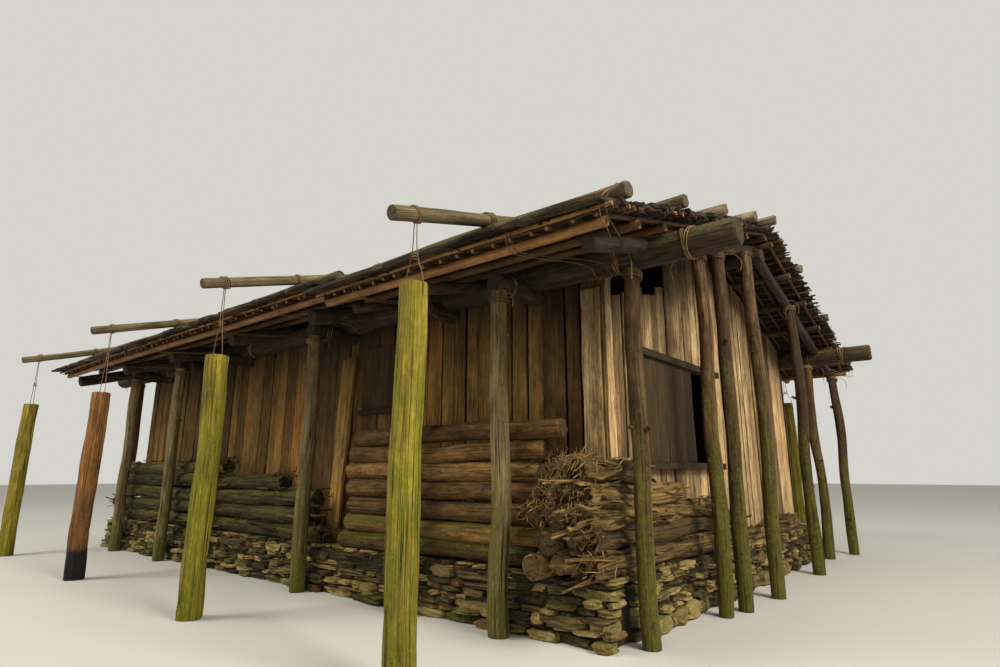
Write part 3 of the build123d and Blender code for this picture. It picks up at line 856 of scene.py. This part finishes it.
class TIMBERHOUSE_OT_boards(bpy.types.Operator):
    """Upright boards on all four walls, cut round the windows"""

    bl_idname = "timber_house.boards"
    bl_label = "Board Walls"

    def execute(self, context):
        self.long_walls()
        self.gable_walls()
        self.loose_boards()
        return {"FINISHED"}

    def long_walls(self):
        def top(edge, middle):
            return WALL_HIGH.z - 0.01

        width = bpy.context.scene.timber_house.board_width
        window = (FRONT_WINDOW_LOW.x + HALF_LENGTH, FRONT_WINDOW_HIGH.x + HALF_LENGTH)
        front = Maker("front_wall_boards", 11)
        openings = [(*window, FRONT_WINDOW_HIGH.z, FRONT_WINDOW_TOP)]
        placed = Matrix.Translation((-HALF_LENGTH, -HALF_DEPTH, 0))
        board_wall(front, 2 * HALF_LENGTH, width, top, openings, placed)
        front.finished("front_boards", FRONT_WALL_NODES)
        back = Maker("back_wall_boards", 12)
        turned = Matrix.Translation((HALF_LENGTH, HALF_DEPTH, 0)) @ Matrix.Rotation(math.pi, 4, "Z")
        board_wall(back, 2 * HALF_LENGTH, width, top, [], turned, 0.2)
        back.finished("front_boards", ["back_wall"])

    def gable_walls(self):
        inner = HALF_DEPTH - BOARD_DEPTH
        width = bpy.context.scene.timber_house.gable_board_width

        def top(edge, middle):
            return slope_height(abs(edge - inner)) - PURLIN_RADIUS - 0.02

        def broken_top(edge, middle):
            broken = BROKEN_TOP[0] < middle - inner < BROKEN_TOP[1]
            return top(edge, middle) - (BROKEN_SHORT + 0.06 * math.sin(middle * 17) if broken else 0.0)

        right = Maker("right_wall_boards", 13)
        openings = [
            (GABLE_WINDOW_LOW.y + inner, GABLE_WINDOW_HIGH.y + inner, GABLE_WINDOW_HIGH.z, GABLE_WINDOW_TOP)
        ]
        turned = Matrix.Translation((HALF_LENGTH, -inner, 0)) @ Matrix.Rotation(math.pi / 2, 4, "Z")
        board_wall(right, 2 * inner, width, broken_top, openings, turned)
        right.finished("gable_boards", RIGHT_WALL_NODES)
        left = Maker("left_wall_boards", 14)
        turned = Matrix.Translation((-HALF_LENGTH, inner, 0)) @ Matrix.Rotation(-math.pi / 2, 4, "Z")
        board_wall(left, 2 * inner, width, top, [], turned, 0.2)
        left.finished("gable_boards", ["left_wall"])

    def loose_boards(self):
        """The rotten board at the front corner, and the plank that leans on the front wall."""
        maker = Maker("corner_board", 15)
        edge = HALF_LENGTH - 0.01
        low, high = (edge - 0.17, -0.03, WALL_FOOT), (edge, 0.0, 2.5)
        plank(maker, low, high, Matrix.Translation((0, -HALF_DEPTH - 0.012, 0)), 0.0, 0.02, 24, 0.7, 0.5)
        maker.finished("gable_boards", [])
        maker = Maker("leaning_plank", 16)
        lean = Matrix.Translation((1.08, -HALF_DEPTH - 0.13, WALL_FOOT)) @ Matrix.Rotation(-0.055, 4, "X")
        plank(maker, (-0.1, -0.02, 0.0), (0.1, 0.015, 1.9), lean, 0.05, 0.02, 16, 0.86, 0.1)
        maker.finished("front_boards", [])


class TIMBERHOUSE_OT_shutters(bpy.types.Operator):
    """Board shutters and the rails that they slide in"""

    bl_idname = "timber_house.shutters"
    bl_label = "Shutters"

    def execute(self, context):
        self.shutter("gable_shutter", "right_shutter", 1)
        self.shutter("front_wall_shutter", "front_shutter", 0)
        maker = Maker("shutter_slide_rails", 22)
        for corners in solids("shutter_rails"):
            plank(maker, corners.min(0), corners.max(0), waver=0.008, cuts=10, moss=0.35)
        maker.finished("shutter_boards", ["shutter_rails"])
        return {"FINISHED"}

    def shutter(self, name, node, along):
        """Two wide boards side by side."""
        maker = Maker(name, 21)
        low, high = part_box(node)
        middle = low[along] + (high[along] - low[along]) * 0.46
        for start, end in ((low[along], middle - 0.002), (middle + 0.002, high[along])):
            near, far = low.copy(), high.copy()
            near[along], far[along] = start, end
            plank(maker, near, far, waver=0.006, moss=0.25)
        maker.finished("shutter_boards", [node])


class TIMBERHOUSE_OT_frame_logs(bpy.types.Operator):
    """Plates, tie beams, ridge beam and rafters"""

    bl_idname = "timber_house.frame_logs"
    bl_label = "Frame Logs"

    def execute(self, context):
        heavy = Look(sides=22, ring=0.12, waver=0.03, knobble=0.1, chamfer=0.014, moss=0.62, ragged=0.012)
        beam = Look(sides=16, ring=0.2, waver=0.02, knobble=0.1, chamfer=0.009, moss=0.4)
        for seed, side in enumerate(("front", "back")):
            logs_piece(f"{side}_plate_timber", f"{side}_plate", heavy, "dark_log", 31 + seed)
            logs_piece(f"{side}_rafter_timber", f"{side}_rafters", beam, "dark_log", 33 + seed)
        for seed, node in enumerate(("tie_beams", "ridge_beam", "verge_rafters")):
            logs_piece(f"{node}_timber", node, beam, "dark_log", 35 + seed, tones=(0.1,))
        return {"FINISHED"}


class TIMBERHOUSE_OT_posts(bpy.types.Operator):
    """Eave, gable and anchor posts"""

    bl_idname = "timber_house.posts"
    bl_label = "Posts"

    def execute(self, context):
        hewn = Look(
            sides=30, ring=0.07, waver=0.03, knobble=0.08, chamfer=0.007,
            moss=0.8, taper=0.05, damp=0.12, groove=0.28,
        )
        rough = Look(
            sides=18, ring=0.06, waver=0.05, knobble=0.12, chamfer=0.005,
            moss=0.64, taper=0.12, damp=0.42, groove=0.14, barrel=0.9,
        )
        barked = rough._replace(moss=0.78, knobble=0.2, waver=0.07, barrel=0.84)
        self.anchor_posts(hewn)
        for seed, side in enumerate(("front", "back")):
            logs_piece(f"{side}_eave_post_timber", f"{side}_eave_posts", rough, "post", 53 + seed, stubs=1)
        for seed, side in enumerate(("right", "left")):
            node = f"{side}_gable_posts"
            logs_piece(f"{side}_gable_post_timber", node, barked, "barked_post", 57 + seed, stubs=3)
        return {"FINISHED"}

    def anchor_posts(self, hewn):
        """Mossy posts, and one in the front row that is redder and stands on a tarred foot."""
        red = Maker("red_anchor_post", 51)
        front = Maker("front_anchor_post_timber", 52)
        runs = sorted(runs_of("front_anchor_posts"), key=lambda run: run.start.x)
        for place, run in enumerate(runs):
            if place == 1:
                round_log(red, run, hewn._replace(moss=0.3, damp=-0.1), 0.5, TARRED_FOOT)
            else:
                round_log(front, run, hewn._replace(moss=0.6) if place == 0 else hewn, 0.4)
        front.finished("mossy_post", ["front_anchor_posts"])
        red.finished("red_post", [])
        logs_piece("back_anchor_post_timber", "back_anchor_posts", hewn, "mossy_post", 50)


class TIMBERHOUSE_OT_roof(bpy.types.Operator):
    """Purlin poles, canes, battens, bark courses, weight logs and hold poles"""

    bl_idname = "timber_house.roof"
    bl_label = "Roof"

    def execute(self, context):
        bamboo = Look(sides=12, ring=0.35, waver=0.015, knobble=0.05, chamfer=0.002, moss=0.12, hollow=(0.25, 0.05))
        weight = Look(sides=16, ring=0.2, waver=0.04, knobble=0.12, chamfer=0.008, moss=0.66, ragged=0.01)
        pole = Look(sides=16, ring=0.14, waver=0.015, knobble=0.07, chamfer=0.007, moss=0.45)
        for seed, side in enumerate(("front", "back")):
            # The two lowest purlins, at the eave, get light tones and the higher ones dark tones: painted shade under
            # the roof.
            tones = (0.95, 0.85, 0.3, 0.2)
            logs_piece(f"{side}_purlin_poles", f"{side}_purlins", bamboo, "cane", 61 + seed, tones=tones)
            node = f"{side}_weight_logs"
            logs_piece(f"{side}_weight_timber", node, weight, "weight_log", 63 + seed)
            logs_piece(f"{side}_hold_pole_timber", f"{side}_hold_poles", pole, "pole", 65 + seed)
        logs_piece("ridge_weight_timber", "ridge_log", weight, "weight_log", 67)
        self.section("front_left", -1, -ROOF_HALF, SECTION_JOINT, SECTION_STEP, 71)
        self.section("front_right", -1, SECTION_JOINT, ROOF_HALF, 0.0, 73)
        self.section("back", 1, -ROOF_HALF, ROOF_HALF, 0.0, 75)
        return {"FINISHED"}

    def section(self, name, side, left, right, step, seed):
        """Canes up the slope, battens across them and bark courses over all."""
        canes = Maker(f"{name}_canes", seed)
        self.canes(canes, side, left, right, step)
        self.battens(canes, side, left, right, step)
        canes.finished("cane", [])
        bark = Maker(f"{name}_bark", seed + 1)
        self.underlay(bark, side, left, right, step)
        self.courses(bark, side, left, right, step)
        self.fringe(bark, side, left, right, step)
        bark.finished("bark_cover", [f"roof_{name}"], smooth=False)

    def canes(self, maker, side, left, right, step):
        """Small canes up the slope in close pairs, their ends showing at the eave."""
        settings = bpy.context.scene.timber_house
        look = Look(sides=7, ring=1.5, waver=0.01, knobble=0.05, chamfer=0.003, moss=0.1)
        count = int((right - left - 0.08) / settings.cane_gap)
        rise = step + PURLIN_RADIUS + 0.015
        for i in range(count + 1):
            x = left + 0.04 + i * (right - left - 0.08) / count + maker.rng.uniform(-0.015, 0.015)
            foot = EAVE_OUT - maker.rng.uniform(-0.02, 0.03)
            tone = maker.rng.uniform(0.0, 0.35)
            round_log(maker, Run(on_slope(side, x, 0.03, rise), on_slope(side, x, foot, rise), 0.034), look, tone)

    def battens(self, maker, side, left, right, step):
        """Thin battens across the canes, the lowest ones at the eave's edge."""
        look = Look(sides=8, ring=0.5, waver=0.02, knobble=0.07, chamfer=0.0, moss=0.1)
        rng = maker.rng
        rise = step + PURLIN_RADIUS + 0.045
        at_eave = [(EAVE_OUT + 0.005, 0.95), (EAVE_OUT - 0.09, 0.5)]
        inner = [(EAVE_OUT - 0.22 - 0.14 * i + rng.uniform(-0.02, 0.02), rng.uniform(0.0, 0.4)) for i in range(24)]
        for out, tone in at_eave + inner:
            start = on_slope(side, left - rng.uniform(0.0, 0.1), out, rise)
            end = on_slope(side, right + rng.uniform(0.0, 0.1), out, rise)
            round_log(maker, Run(start, end, rng.uniform(0.024, 0.034)), look, tone)

    def underlay(self, maker, side, left, right, step):
        """A closed sheet of flattened bark under the courses."""
        length = (EAVE_OUT - 0.02) / math.cos(PITCH)
        bm = maker.begin()
        bmesh.ops.create_cube(bm, size=1.0)
        bmesh.ops.scale(bm, vec=(right - left - 0.02, length, 0.016), verts=bm.verts)
        maker.mark(0.1, 0.2)
        rise = step + PURLIN_RADIUS + 0.064
        maker.end(slope_place(side, (left + right) / 2, (EAVE_OUT - 0.02) / 2, rise))

    def courses(self, maker, side, left, right, step):
        """Sheets of bark along the house, each course lapping the one below."""
        rng = maker.rng
        showing = bpy.context.scene.timber_house.bark_course
        count = int(EAVE_OUT / math.cos(PITCH) / showing)
        for course in (0, 0, *range(count + 1)):
            out = max((EAVE_OUT - 0.07) * (1 - course / count), 0.06) - rng.uniform(0.0, 0.03)
            start = left + rng.uniform(-0.05, 0.02)
            while start < right - 0.2:
                end = start + rng.uniform(0.35, 0.95)
                if right - end < 0.25:
                    end = right + rng.uniform(-0.02, 0.05)
                self.sheet(maker, side, ((start + end) / 2, out), (end - start + 0.06, showing * 1.5), step)
                start = end

    def sheet(self, maker, side, place, size, step):
        """One thick sheet of bark, warped, ragged along its lower edge."""
        bm, rng = maker.begin(), maker.rng
        length, width = size
        bmesh.ops.create_grid(bm, x_segments=6, y_segments=4, size=0.5)
        bmesh.ops.scale(bm, vec=(length, width, 1.0), verts=bm.verts)
        shift = rng.uniform(0, 90)
        for corner in bm.verts:
            x, y, z = corner.co
            if y > width * 0.3:
                corner.co.y += 0.05 * noise.noise(Vector((x * 7, shift, 0.2)))
            corner.co.z = 0.016 * noise.noise(Vector((x * 4, y * 7, shift)))
        bmesh.ops.solidify(bm, geom=bm.faces[:], thickness=rng.uniform(0.018, 0.03))
        maker.turned_mark(Matrix.Rotation(math.pi / 2, 4, "Y"), None, rng.uniform(0.0, 0.42))
        x, out = place
        rise = step + PURLIN_RADIUS + 0.082 + rng.uniform(0.0, 0.008)
        maker.end(slope_place(side, x, out, rise, rng.uniform(0.05, 0.085), rng.uniform(-0.03, 0.03)))

    def fringe(self, maker, side, left, right, step):
        """Ragged strips and splinters that stick out along the eave and the verges."""
        rng = maker.rng
        look = Look(sides=5, ring=0.08, waver=0.03, knobble=0.2, chamfer=0.0, moss=0.3)
        for _ in range(int((right - left) * 22)):
            x = rng.uniform(left, right)
            out = EAVE_OUT - rng.uniform(0.0, 0.05)
            rise = step + PURLIN_RADIUS + rng.uniform(0.05, 0.1)
            start = on_slope(side, x, out - 0.15, rise)
            tip = x + rng.uniform(-0.04, 0.04)
            end = on_slope(side, tip, out + rng.uniform(0.02, 0.1), rise - rng.uniform(0, 0.03))
            round_log(maker, Run(start, end, rng.uniform(0.006, 0.014)), look)
        for edge, way in ((left, -1), (right, 1)):
            for _ in range(300):
                out = rng.uniform(0.05, EAVE_OUT)
                rise = step + PURLIN_RADIUS + rng.uniform(0.03, 0.11)
                start = on_slope(side, edge - way * rng.uniform(0.15, 0.4), out, rise)
                tip = edge + way * rng.uniform(0.0, 0.1)
                end = on_slope(side, tip, out + rng.uniform(-0.04, 0.04), rise - rng.uniform(0, 0.02))
                round_log(maker, Run(start, end, rng.uniform(0.008, 0.028)), look)


class TIMBERHOUSE_OT_stacks(bpy.types.Operator):
    """Stacked logs along the foot of the walls"""

    bl_idname = "timber_house.stacks"
    bl_label = "Log Stacks"

    def execute(self, context):
        sound = Look(sides=22, ring=0.07, waver=0.04, knobble=0.16, chamfer=0.014, moss=0.4, ragged=0.03, groove=0.05)
        rotten = Look(
            sides=30, ring=0.05, waver=0.07, knobble=0.3, chamfer=0.006, ragged=0.06, hollow=(0.4, 0.05), groove=0.38
        )
        logs_piece("back_stack_timber", "back_stack", sound, "stack_log", 93)
        self.crib(sound)
        mossy = rotten._replace(moss=0.66, knobble=0.2, groove=0.22)
        self.rotten_stack("front_stack_left", mossy, "mossy_log", 92, 11)
        self.rotten_stack("right_stack", rotten._replace(moss=0.34), "rotten_log", 94, 26)
        self.corner_heap(sound._replace(ragged=0.03, moss=0.3, groove=0.1))
        return {"FINISHED"}

    def crib(self, look):
        """The sound stack by the corner, its two lowest logs green with moss."""
        maker = Maker("front_stack_right_timber", 91)
        for place, run in enumerate(runs_of("front_stack_right")):
            round_log(maker, run, look._replace(moss=0.84 if place < 2 else 0.36))
        maker.finished("stack_log", ["front_stack_right"])

    def corner_heap(self, look):
        """Short logs and loose fibres heaped between the two stacks at the front corner."""
        maker = Maker("corner_heap_timber", 95)
        rng = maker.rng
        foot = PLINTH_TOP + 0.08
        for x, lift, near, width in HEAP_LOGS:
            start = Vector((x, -HALF_DEPTH - near, foot + lift))
            end = Vector((x + rng.uniform(-0.04, 0.06), -HALF_DEPTH - 0.04, foot + lift + rng.uniform(-0.01, 0.03)))
            round_log(maker, Run(start, end, width), look, rng.uniform(0.1, 0.8))
            self.splinters(maker, Run(start, end, width), 9, (0.05, 0.16))
            if lift > 0.25:
                self.fibres(maker, start + Vector((0, 0.03, width / 3)), (0.07, 0.05, 0.05), 110)
        self.fibres(maker, Vector((4.08, -HALF_DEPTH - 0.22, PLINTH_TOP + 0.74)), (0.13, 0.1, 0.03), 320, 0.14)
        maker.finished("rotten_log", [])

    def rotten_stack(self, node, look, finish, seed, density):
        """Rotten logs with splinters, slabs of bark and fibres that have come away from them."""
        maker = Maker(f"{node}_timber", seed)
        for run in runs_of(node):
            round_log(maker, run, look, maker.rng.uniform(0.1, 0.9))
            self.splinters(maker, run, int((run.end - run.start).length * density), (0.1, 0.42))
            near = max(run.start, run.end, key=lambda point: point.x - point.y)
            self.fibres(maker, near + Vector((0, 0, run.width / 3)), (0.06, 0.06, 0.04), 60)
        maker.finished(finish, [node])

    def fibres(self, maker, centre, spread, count, steep=0.4):
        """A clump of thin fibres that hang from a rotten end, or lie flat where steep is low."""
        rng = maker.rng
        look = Look(sides=4, ring=0.06, waver=0.014, knobble=0.1, chamfer=0.0, moss=0.0)
        for _ in range(count):
            middle = centre + Vector([rng.gauss(0, size) for size in spread])
            half = Vector((rng.gauss(0, 0.5), rng.gauss(-0.5, 0.5), rng.gauss(-steep, steep))).normalized()
            half *= rng.uniform(0.02, 0.06)
            tone = rng.uniform(0.7, 1.3)
            round_log(maker, Run(middle - half, middle + half, rng.uniform(0.003, 0.008)), look, tone)

    def splinters(self, maker, run, count, halves):
        """Long fibres and slivers that have come away from a rotten log, most of them near its ends."""
        rng = maker.rng
        look = Look(sides=5, ring=0.1, waver=0.05, knobble=0.4, chamfer=0.0, moss=0.3, ragged=0.02)
        heading = (run.end - run.start).normalized()
        across = heading.cross(Vector((0, 0, 1))).normalized()
        for _ in range(count):
            along = rng.uniform(0.0, 1.0) ** 1.4
            from_end = along if rng.random() < 0.5 else 1 - along
            angle = rng.uniform(0, 2 * math.pi)
            reach = run.width * rng.uniform(0.42, 0.6)
            offset = across * math.cos(angle) * reach + Vector((0, 0, math.sin(angle) * reach))
            middle = run.start.lerp(run.end, from_end) + offset
            half = heading * rng.uniform(*halves) + across * rng.uniform(-0.04, 0.04)
            half.z += rng.uniform(-0.03, 0.03)
            round_log(maker, Run(middle - half, middle + half, rng.uniform(0.006, 0.026)), look)


class TIMBERHOUSE_OT_plinth(bpy.types.Operator):
    """Dry laid flat stones round the plinth"""

    bl_idname = "timber_house.plinth"
    bl_label = "Dry Stone Plinth"

    def execute(self, context):
        for seed, side in enumerate(("front", "back", "left", "right")):
            maker = Maker(f"{side}_dry_stones", 101 + seed)
            low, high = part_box(f"plinth_{side}")
            self.core(maker, low, high)
            self.courses(maker, low, high, side)
            maker.finished("dry_stone", [f"plinth_{side}"], smooth=False)
        return {"FINISHED"}

    def core(self, maker, low, high):
        """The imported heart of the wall, well inside its faces."""
        bm = maker.begin()
        bmesh.ops.create_cube(bm, size=1.0)
        bmesh.ops.scale(bm, vec=high - low - Vector((0.14, 0.14, 0.03)), verts=bm.verts)
        maker.mark(0.0, 0.0)
        maker.end(Matrix.Translation((low + high) / 2 - Vector((0, 0, 0.015))))

    def courses(self, maker, low, high, side):
        """Courses of stones along the outer face, and plainer ones along the inner face."""
        settings = bpy.context.scene.timber_house
        rng = maker.rng
        size = high - low
        long_side = side in ("front", "back")
        length, width = (size.x, size.y) if long_side else (size.y, size.x)
        middle = (low + high) / 2
        turn = Matrix.Rotation(PLINTH_TURNS[side], 4, "Z")
        place = Matrix.Translation((middle.x, middle.y, 0)) @ turn
        z = 0.0
        while z < PLINTH_TOP - 0.012:
            height = min(settings.course_height * rng.uniform(0.55, 1.5) * (2.0 if z == 0 else 1.0), PLINTH_TOP - z)
            if PLINTH_TOP - z - height < 0.02:
                height = PLINTH_TOP - z
            self.course(maker, place, (-width / 2 + PLINTH_BATTER * z / PLINTH_TOP, 1), (length, z, height))
            self.course(maker, place, (width / 2, -1), (length, z, height))
            z += height

    def course(self, maker, place, face, span):
        """One course along a face, its stones of many lengths, heights and depths, in a line that rises and dips."""
        rng = maker.rng
        y, inward = face
        length, z, height = span
        fine = inward > 0
        top = z + height > PLINTH_TOP - 0.001
        free = 0.0 if top or z == 0 else 0.02
        x = -length / 2
        while x < length / 2 - 0.05:
            run = min(rng.uniform(0.07, 0.2) + rng.random() ** 3 * 0.3 + (0.1 if z == 0 else 0.0), length / 2 - x)
            if length / 2 - x - run < 0.06:
                run = length / 2 - x
            depth = 0.3 if top else rng.uniform(0.14, 0.24)
            bulge = rng.uniform(-0.045, 0.02) if fine else -0.02
            lift = free * noise.noise(Vector((x * 1.7, z * 9, y)))
            centre = Vector((x + run / 2, y + inward * (depth / 2 - bulge), z + height / 2 + lift))
            thick = height * (0.97 if top or z == 0 else rng.uniform(0.7, 1.4))
            growth = rng.uniform(0.2, 0.9) if z == 0 else rng.random() ** 2 * 0.8
            self.stone(maker, place, centre, (run - 0.004, depth, thick), fine, growth)
            x += run

    def stone(self, maker, place, centre, size, fine, growth):
        """One flat stone with worn uneven edges."""
        bm, rng = maker.begin(), maker.rng
        bmesh.ops.create_cube(bm, size=1.0)
        bmesh.ops.subdivide_edges(bm, edges=bm.edges[:], cuts=2 if fine else 1, use_grid_fill=True)
        shift = rng.uniform(0, 90)
        for corner in bm.verts:
            spot = corner.co * 1.9 + Vector((shift, 0, 0))
            far = (abs(corner.co.x) > 0.4) + (abs(corner.co.y) > 0.4)
            corner.co.x = corner.co.x * (1 - 0.09 * far) + 0.16 * noise.noise(spot)
            corner.co.y = corner.co.y * (1 - 0.06 * far) + 0.16 * noise.noise(spot + Vector((0, 9, 0)))
            corner.co.z = corner.co.z * (1 - 0.16 * far) + 0.13 * noise.noise(spot + Vector((0, 0, 9)))
        bmesh.ops.scale(bm, vec=size, verts=bm.verts)
        maker.mark(None, growth)
        tip = Matrix.Rotation(rng.uniform(-0.05, 0.05), 4, "Y") @ Matrix.Rotation(rng.uniform(-0.12, 0.12), 4, "Z")
        bmesh.ops.transform(bm, matrix=place @ Matrix.Translation(centre) @ tip, verts=bm.verts)
        for corner in bm.verts:
            corner.co.z = min(max(corner.co.z, 0.0), PLINTH_TOP)
        maker.end()


class TIMBERHOUSE_OT_lashings(bpy.types.Operator):
    """Vine lashings at the joints, and the ropes that tie the roof down"""

    bl_idname = "timber_house.lashings"
    bl_label = "Vine Lashings"

    def execute(self, context):
        width = context.scene.timber_house.rope_width
        maker = Maker("joint_lashings", 111)
        self.post_lashings(maker, width)
        self.plate_lashings(maker, width)
        self.pole_lashings(maker, width)
        self.eave_loops(maker, width)
        maker.finished("rope", [])
        ropes = Maker("tie_down_ropes", 112)
        for run in runs_of("tie_ropes"):
            self.tie(ropes, run, width)
        ropes.finished("rope", ["tie_ropes"])
        return {"FINISHED"}

    def post_lashings(self, maker, width):
        """Turns round the tops of the posts and round the beams on them."""
        for node in ("front_eave_posts", "back_eave_posts"):
            for run in runs_of(node):
                inward = 0.12 if run.end.y < 0 else -0.12
                coil(maker, run.end - Vector((0, 0, 0.07)), (0.1, 0, 1), run.width / 2, 3, width)
                coil(maker, run.end + Vector((0, inward, 0.055)), (0.15, 1, 0), 0.084, 3, width)
                loose_end(maker, run.end + Vector((0, inward, 0.0)), width)
                loose_end(maker, run.end + Vector((0.07, 0, -0.05)), width)
        for node in ("right_gable_posts", "left_gable_posts"):
            for run in runs_of(node):
                coil(maker, run.end - Vector((0, 0, 0.05)), (0, 0.25, 1), run.width / 2 * 0.92, 3, width)
                loose_end(maker, run.end + Vector((0.06, 0, -0.04)), width)
                loose_end(maker, run.end + Vector((0, -0.06, 0.04)), width)

    def plate_lashings(self, maker, width):
        """Crossed turns round the plates beside the posts."""
        for node in ("front_plate", "back_plate"):
            run = runs_of(node)[0]
            radius = run.width / 2 * 1.04
            for x in PLATE_LASHINGS:
                centre = Vector((x, run.start.y, run.start.z))
                coil(maker, centre, (1, 0, 0.16), radius, 2, width)
                coil(maker, centre + Vector((0.03, 0, 0)), (1, 0, -0.22), radius, 2, width)
                loose_end(maker, centre - Vector((0, 0, radius)), width)

    def pole_lashings(self, maker, width):
        """Turns round the hold poles, over the ropes and over the weight logs."""
        for node in ("front_hold_poles", "back_hold_poles"):
            for run in runs_of(node):
                low, high = sorted((run.start, run.end), key=lambda point: point.z)
                axis = (high - low).normalized()
                for along, turns in ((0.2, 3), (0.92, 3), (1.86, 2)):
                    coil(maker, low + axis * along, axis, run.width / 2 + 0.003, turns, width)

    def eave_loops(self, maker, width):
        """Vines that tie the weight log at the eave down to the plate under it, two side by side."""
        for name, side in (("front", -1), ("back", 1)):
            plate = runs_of(f"{name}_plate")[0]
            logs = sorted(runs_of(f"{name}_weight_logs"), key=lambda run: run.start.z)
            for at_eave, at_plate in EAVE_TIES:
                over = next(log for log in logs if (log.start.x < at_eave) != (log.end.x < at_eave))
                step = SECTION_STEP if side < 0 and at_eave < SECTION_JOINT else 0.0
                for way in (-0.02, 0.02):
                    self.loop(maker, side, (at_eave + way, at_plate + way * 3), (over, plate), step, width)

    def loop(self, maker, side, places, logs, step, width):
        """One vine over the weight log, round the eave's edge and round the plate."""
        x, plate_x = places
        log, plate = logs
        reach = log.width / 2 + width / 2
        points = []
        for angle in (200, 155, 110, 65, 20):
            turn = math.radians(angle)
            points.append(Vector((x, log.start.y, log.start.z)))
            points[-1] += Vector((0, side * reach * math.cos(turn), reach * math.sin(turn)))
        for out, rise in ((0.03, 0.13), (0.05, 0.0), (-0.03, -0.06)):
            points.append(on_slope(side, x, EAVE_OUT + out, step + rise))
        reach = plate.width / 2 + 0.01
        centre = Vector((plate_x, plate.start.y, plate.start.z))
        for angle in (-10, -60, -110, -160, 150, 100, 50, 0):
            turn = math.radians(angle)
            points.append(centre + Vector((0.0, side * reach * math.cos(turn), reach * math.sin(turn))))
        vine(maker, points, width * 0.75)

    def tie(self, maker, run, width):
        """Strands from a hold pole down to its anchor post, where they part and go down its sides."""
        foot, top = sorted((run.start, run.end), key=lambda point: point.z)
        side = ANCHOR_RADIUS + width / 2
        for way in (-1, 1):
            knot = foot.lerp(top, 0.45) + Vector((way * 0.012, way * 0.006, 0))
            points = [top + Vector((way * 0.012, 0, 0.02)), knot, foot + Vector((way * side * 0.9, 0, 0.03))]
            points.append(foot + Vector((way * side, 0, -maker.rng.uniform(0.06, 0.16))))
            vine(maker, points, width * 0.8)
        coil(maker, foot.lerp(top, 0.45), (0, 0, 1), 0.014, 3, width * 0.8)


class TIMBERHOUSE_OT_stage(bpy.types.Operator):
    """Pale floor, soft light and the photograph's camera"""

    bl_idname = "timber_house.stage"
    bl_label = "Stage"

    def execute(self, context):
        self.floor()
        self.sky()
        self.lamp("key_light", (-5.0, -12.0, 13.0), 6.0, 2000.0)
        self.lamp("side_light", (14.0, -4.0, 10.0), 5.0, 2300.0)
        self.camera()
        context.scene.view_settings.view_transform = "Standard"
        return {"FINISHED"}

    def floor(self):
        bm = bmesh.new()
        bmesh.ops.create_grid(bm, x_segments=1, y_segments=1, size=60.0)
        mesh = bpy.data.meshes.new("floor")
        bm.to_mesh(mesh)
        bm.free()
        ground = bpy.data.objects.new("floor", mesh)
        bpy.context.scene.collection.objects.link(ground)
        finish = Finish("floor")
        cloudy = finish.noise(finish.place(), scale=0.3, detail=2.0)
        pale = finish.mix(cloudy, paint(178, 175, 168), paint(185, 182, 175))
        shader = finish.node("ShaderNodeBsdfPrincipled", None, {"Base Color": pale, "Roughness": 0.9})
        finish.node_output(shader)
        mesh.materials.append(finish.material)

    def sky(self):
        world = bpy.data.worlds.new("sky")
        world.use_nodes = True
        world.node_tree.nodes["Background"].inputs["Color"].default_value = paint(232, 231, 224)
        world.node_tree.nodes["Background"].inputs["Strength"].default_value = 0.82
        bpy.context.scene.world = world

    def lamp(self, name, place, size, power):
        """A soft square light that faces the house."""
        light = bpy.data.lights.new(name, "AREA")
        light.size = size
        light.energy = power
        light.color = (1.0, 0.95, 0.86)
        lamp = bpy.data.objects.new(name, light)
        lamp.location = place
        lamp.rotation_euler = (Vector((0, 0, 1.2)) - lamp.location).to_track_quat("-Z", "Y").to_euler()
        bpy.context.scene.collection.objects.link(lamp)

    def camera(self):
        data = bpy.data.cameras.new("camera")
        data.lens = CAMERA_LENS
        data.sensor_width = 36.0
        data.clip_end = 200.0
        camera = bpy.data.objects.new("camera", data)
        level = math.cos(CAMERA_RISE)
        ahead = Vector((-math.sin(CAMERA_TURN) * level, math.cos(CAMERA_TURN) * level, math.sin(CAMERA_RISE)))
        camera.location = CAMERA_PLACE
        camera.rotation_euler = ahead.to_track_quat("-Z", "Y").to_euler()
        bpy.context.scene.collection.objects.link(camera)
        bpy.context.scene.camera = camera


OPERATORS = (
    TIMBERHOUSE_OT_stage,
    TIMBERHOUSE_OT_boards,
    TIMBERHOUSE_OT_shutters,
    TIMBERHOUSE_OT_frame_logs,
    TIMBERHOUSE_OT_posts,
    TIMBERHOUSE_OT_roof,
    TIMBERHOUSE_OT_stacks,
    TIMBERHOUSE_OT_plinth,
    TIMBERHOUSE_OT_lashings,
)


class TIMBERHOUSE_PT_panel(bpy.types.Panel):
    """Lists the house's settings and the operators that build it"""

    bl_idname = "TIMBERHOUSE_PT_panel"
    bl_label = "Timber House"
    bl_space_type = "VIEW_3D"
    bl_region_type = "UI"
    bl_category = "Timber House"

    def draw(self, context):
        settings = context.scene.timber_house
        for name in HouseSettings.__annotations__:
            self.layout.prop(settings, name)
        for operator in OPERATORS:
            self.layout.operator(operator.bl_idname)


CLASSES = (HouseSettings, *OPERATORS, TIMBERHOUSE_PT_panel)


def register():
    for made in CLASSES:
        bpy.utils.register_class(made)
    bpy.types.Scene.timber_house = PointerProperty(type=HouseSettings)


def unregister():
    del bpy.types.Scene.timber_house
    for made in reversed(CLASSES):
        bpy.utils.unregister_class(made)


def main():
    """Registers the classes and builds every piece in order."""
    register()
    for operator in OPERATORS:
        module, call = operator.bl_idname.split(".")
        getattr(getattr(bpy.ops, module), call)()


if __name__ == "__main__":
    main()
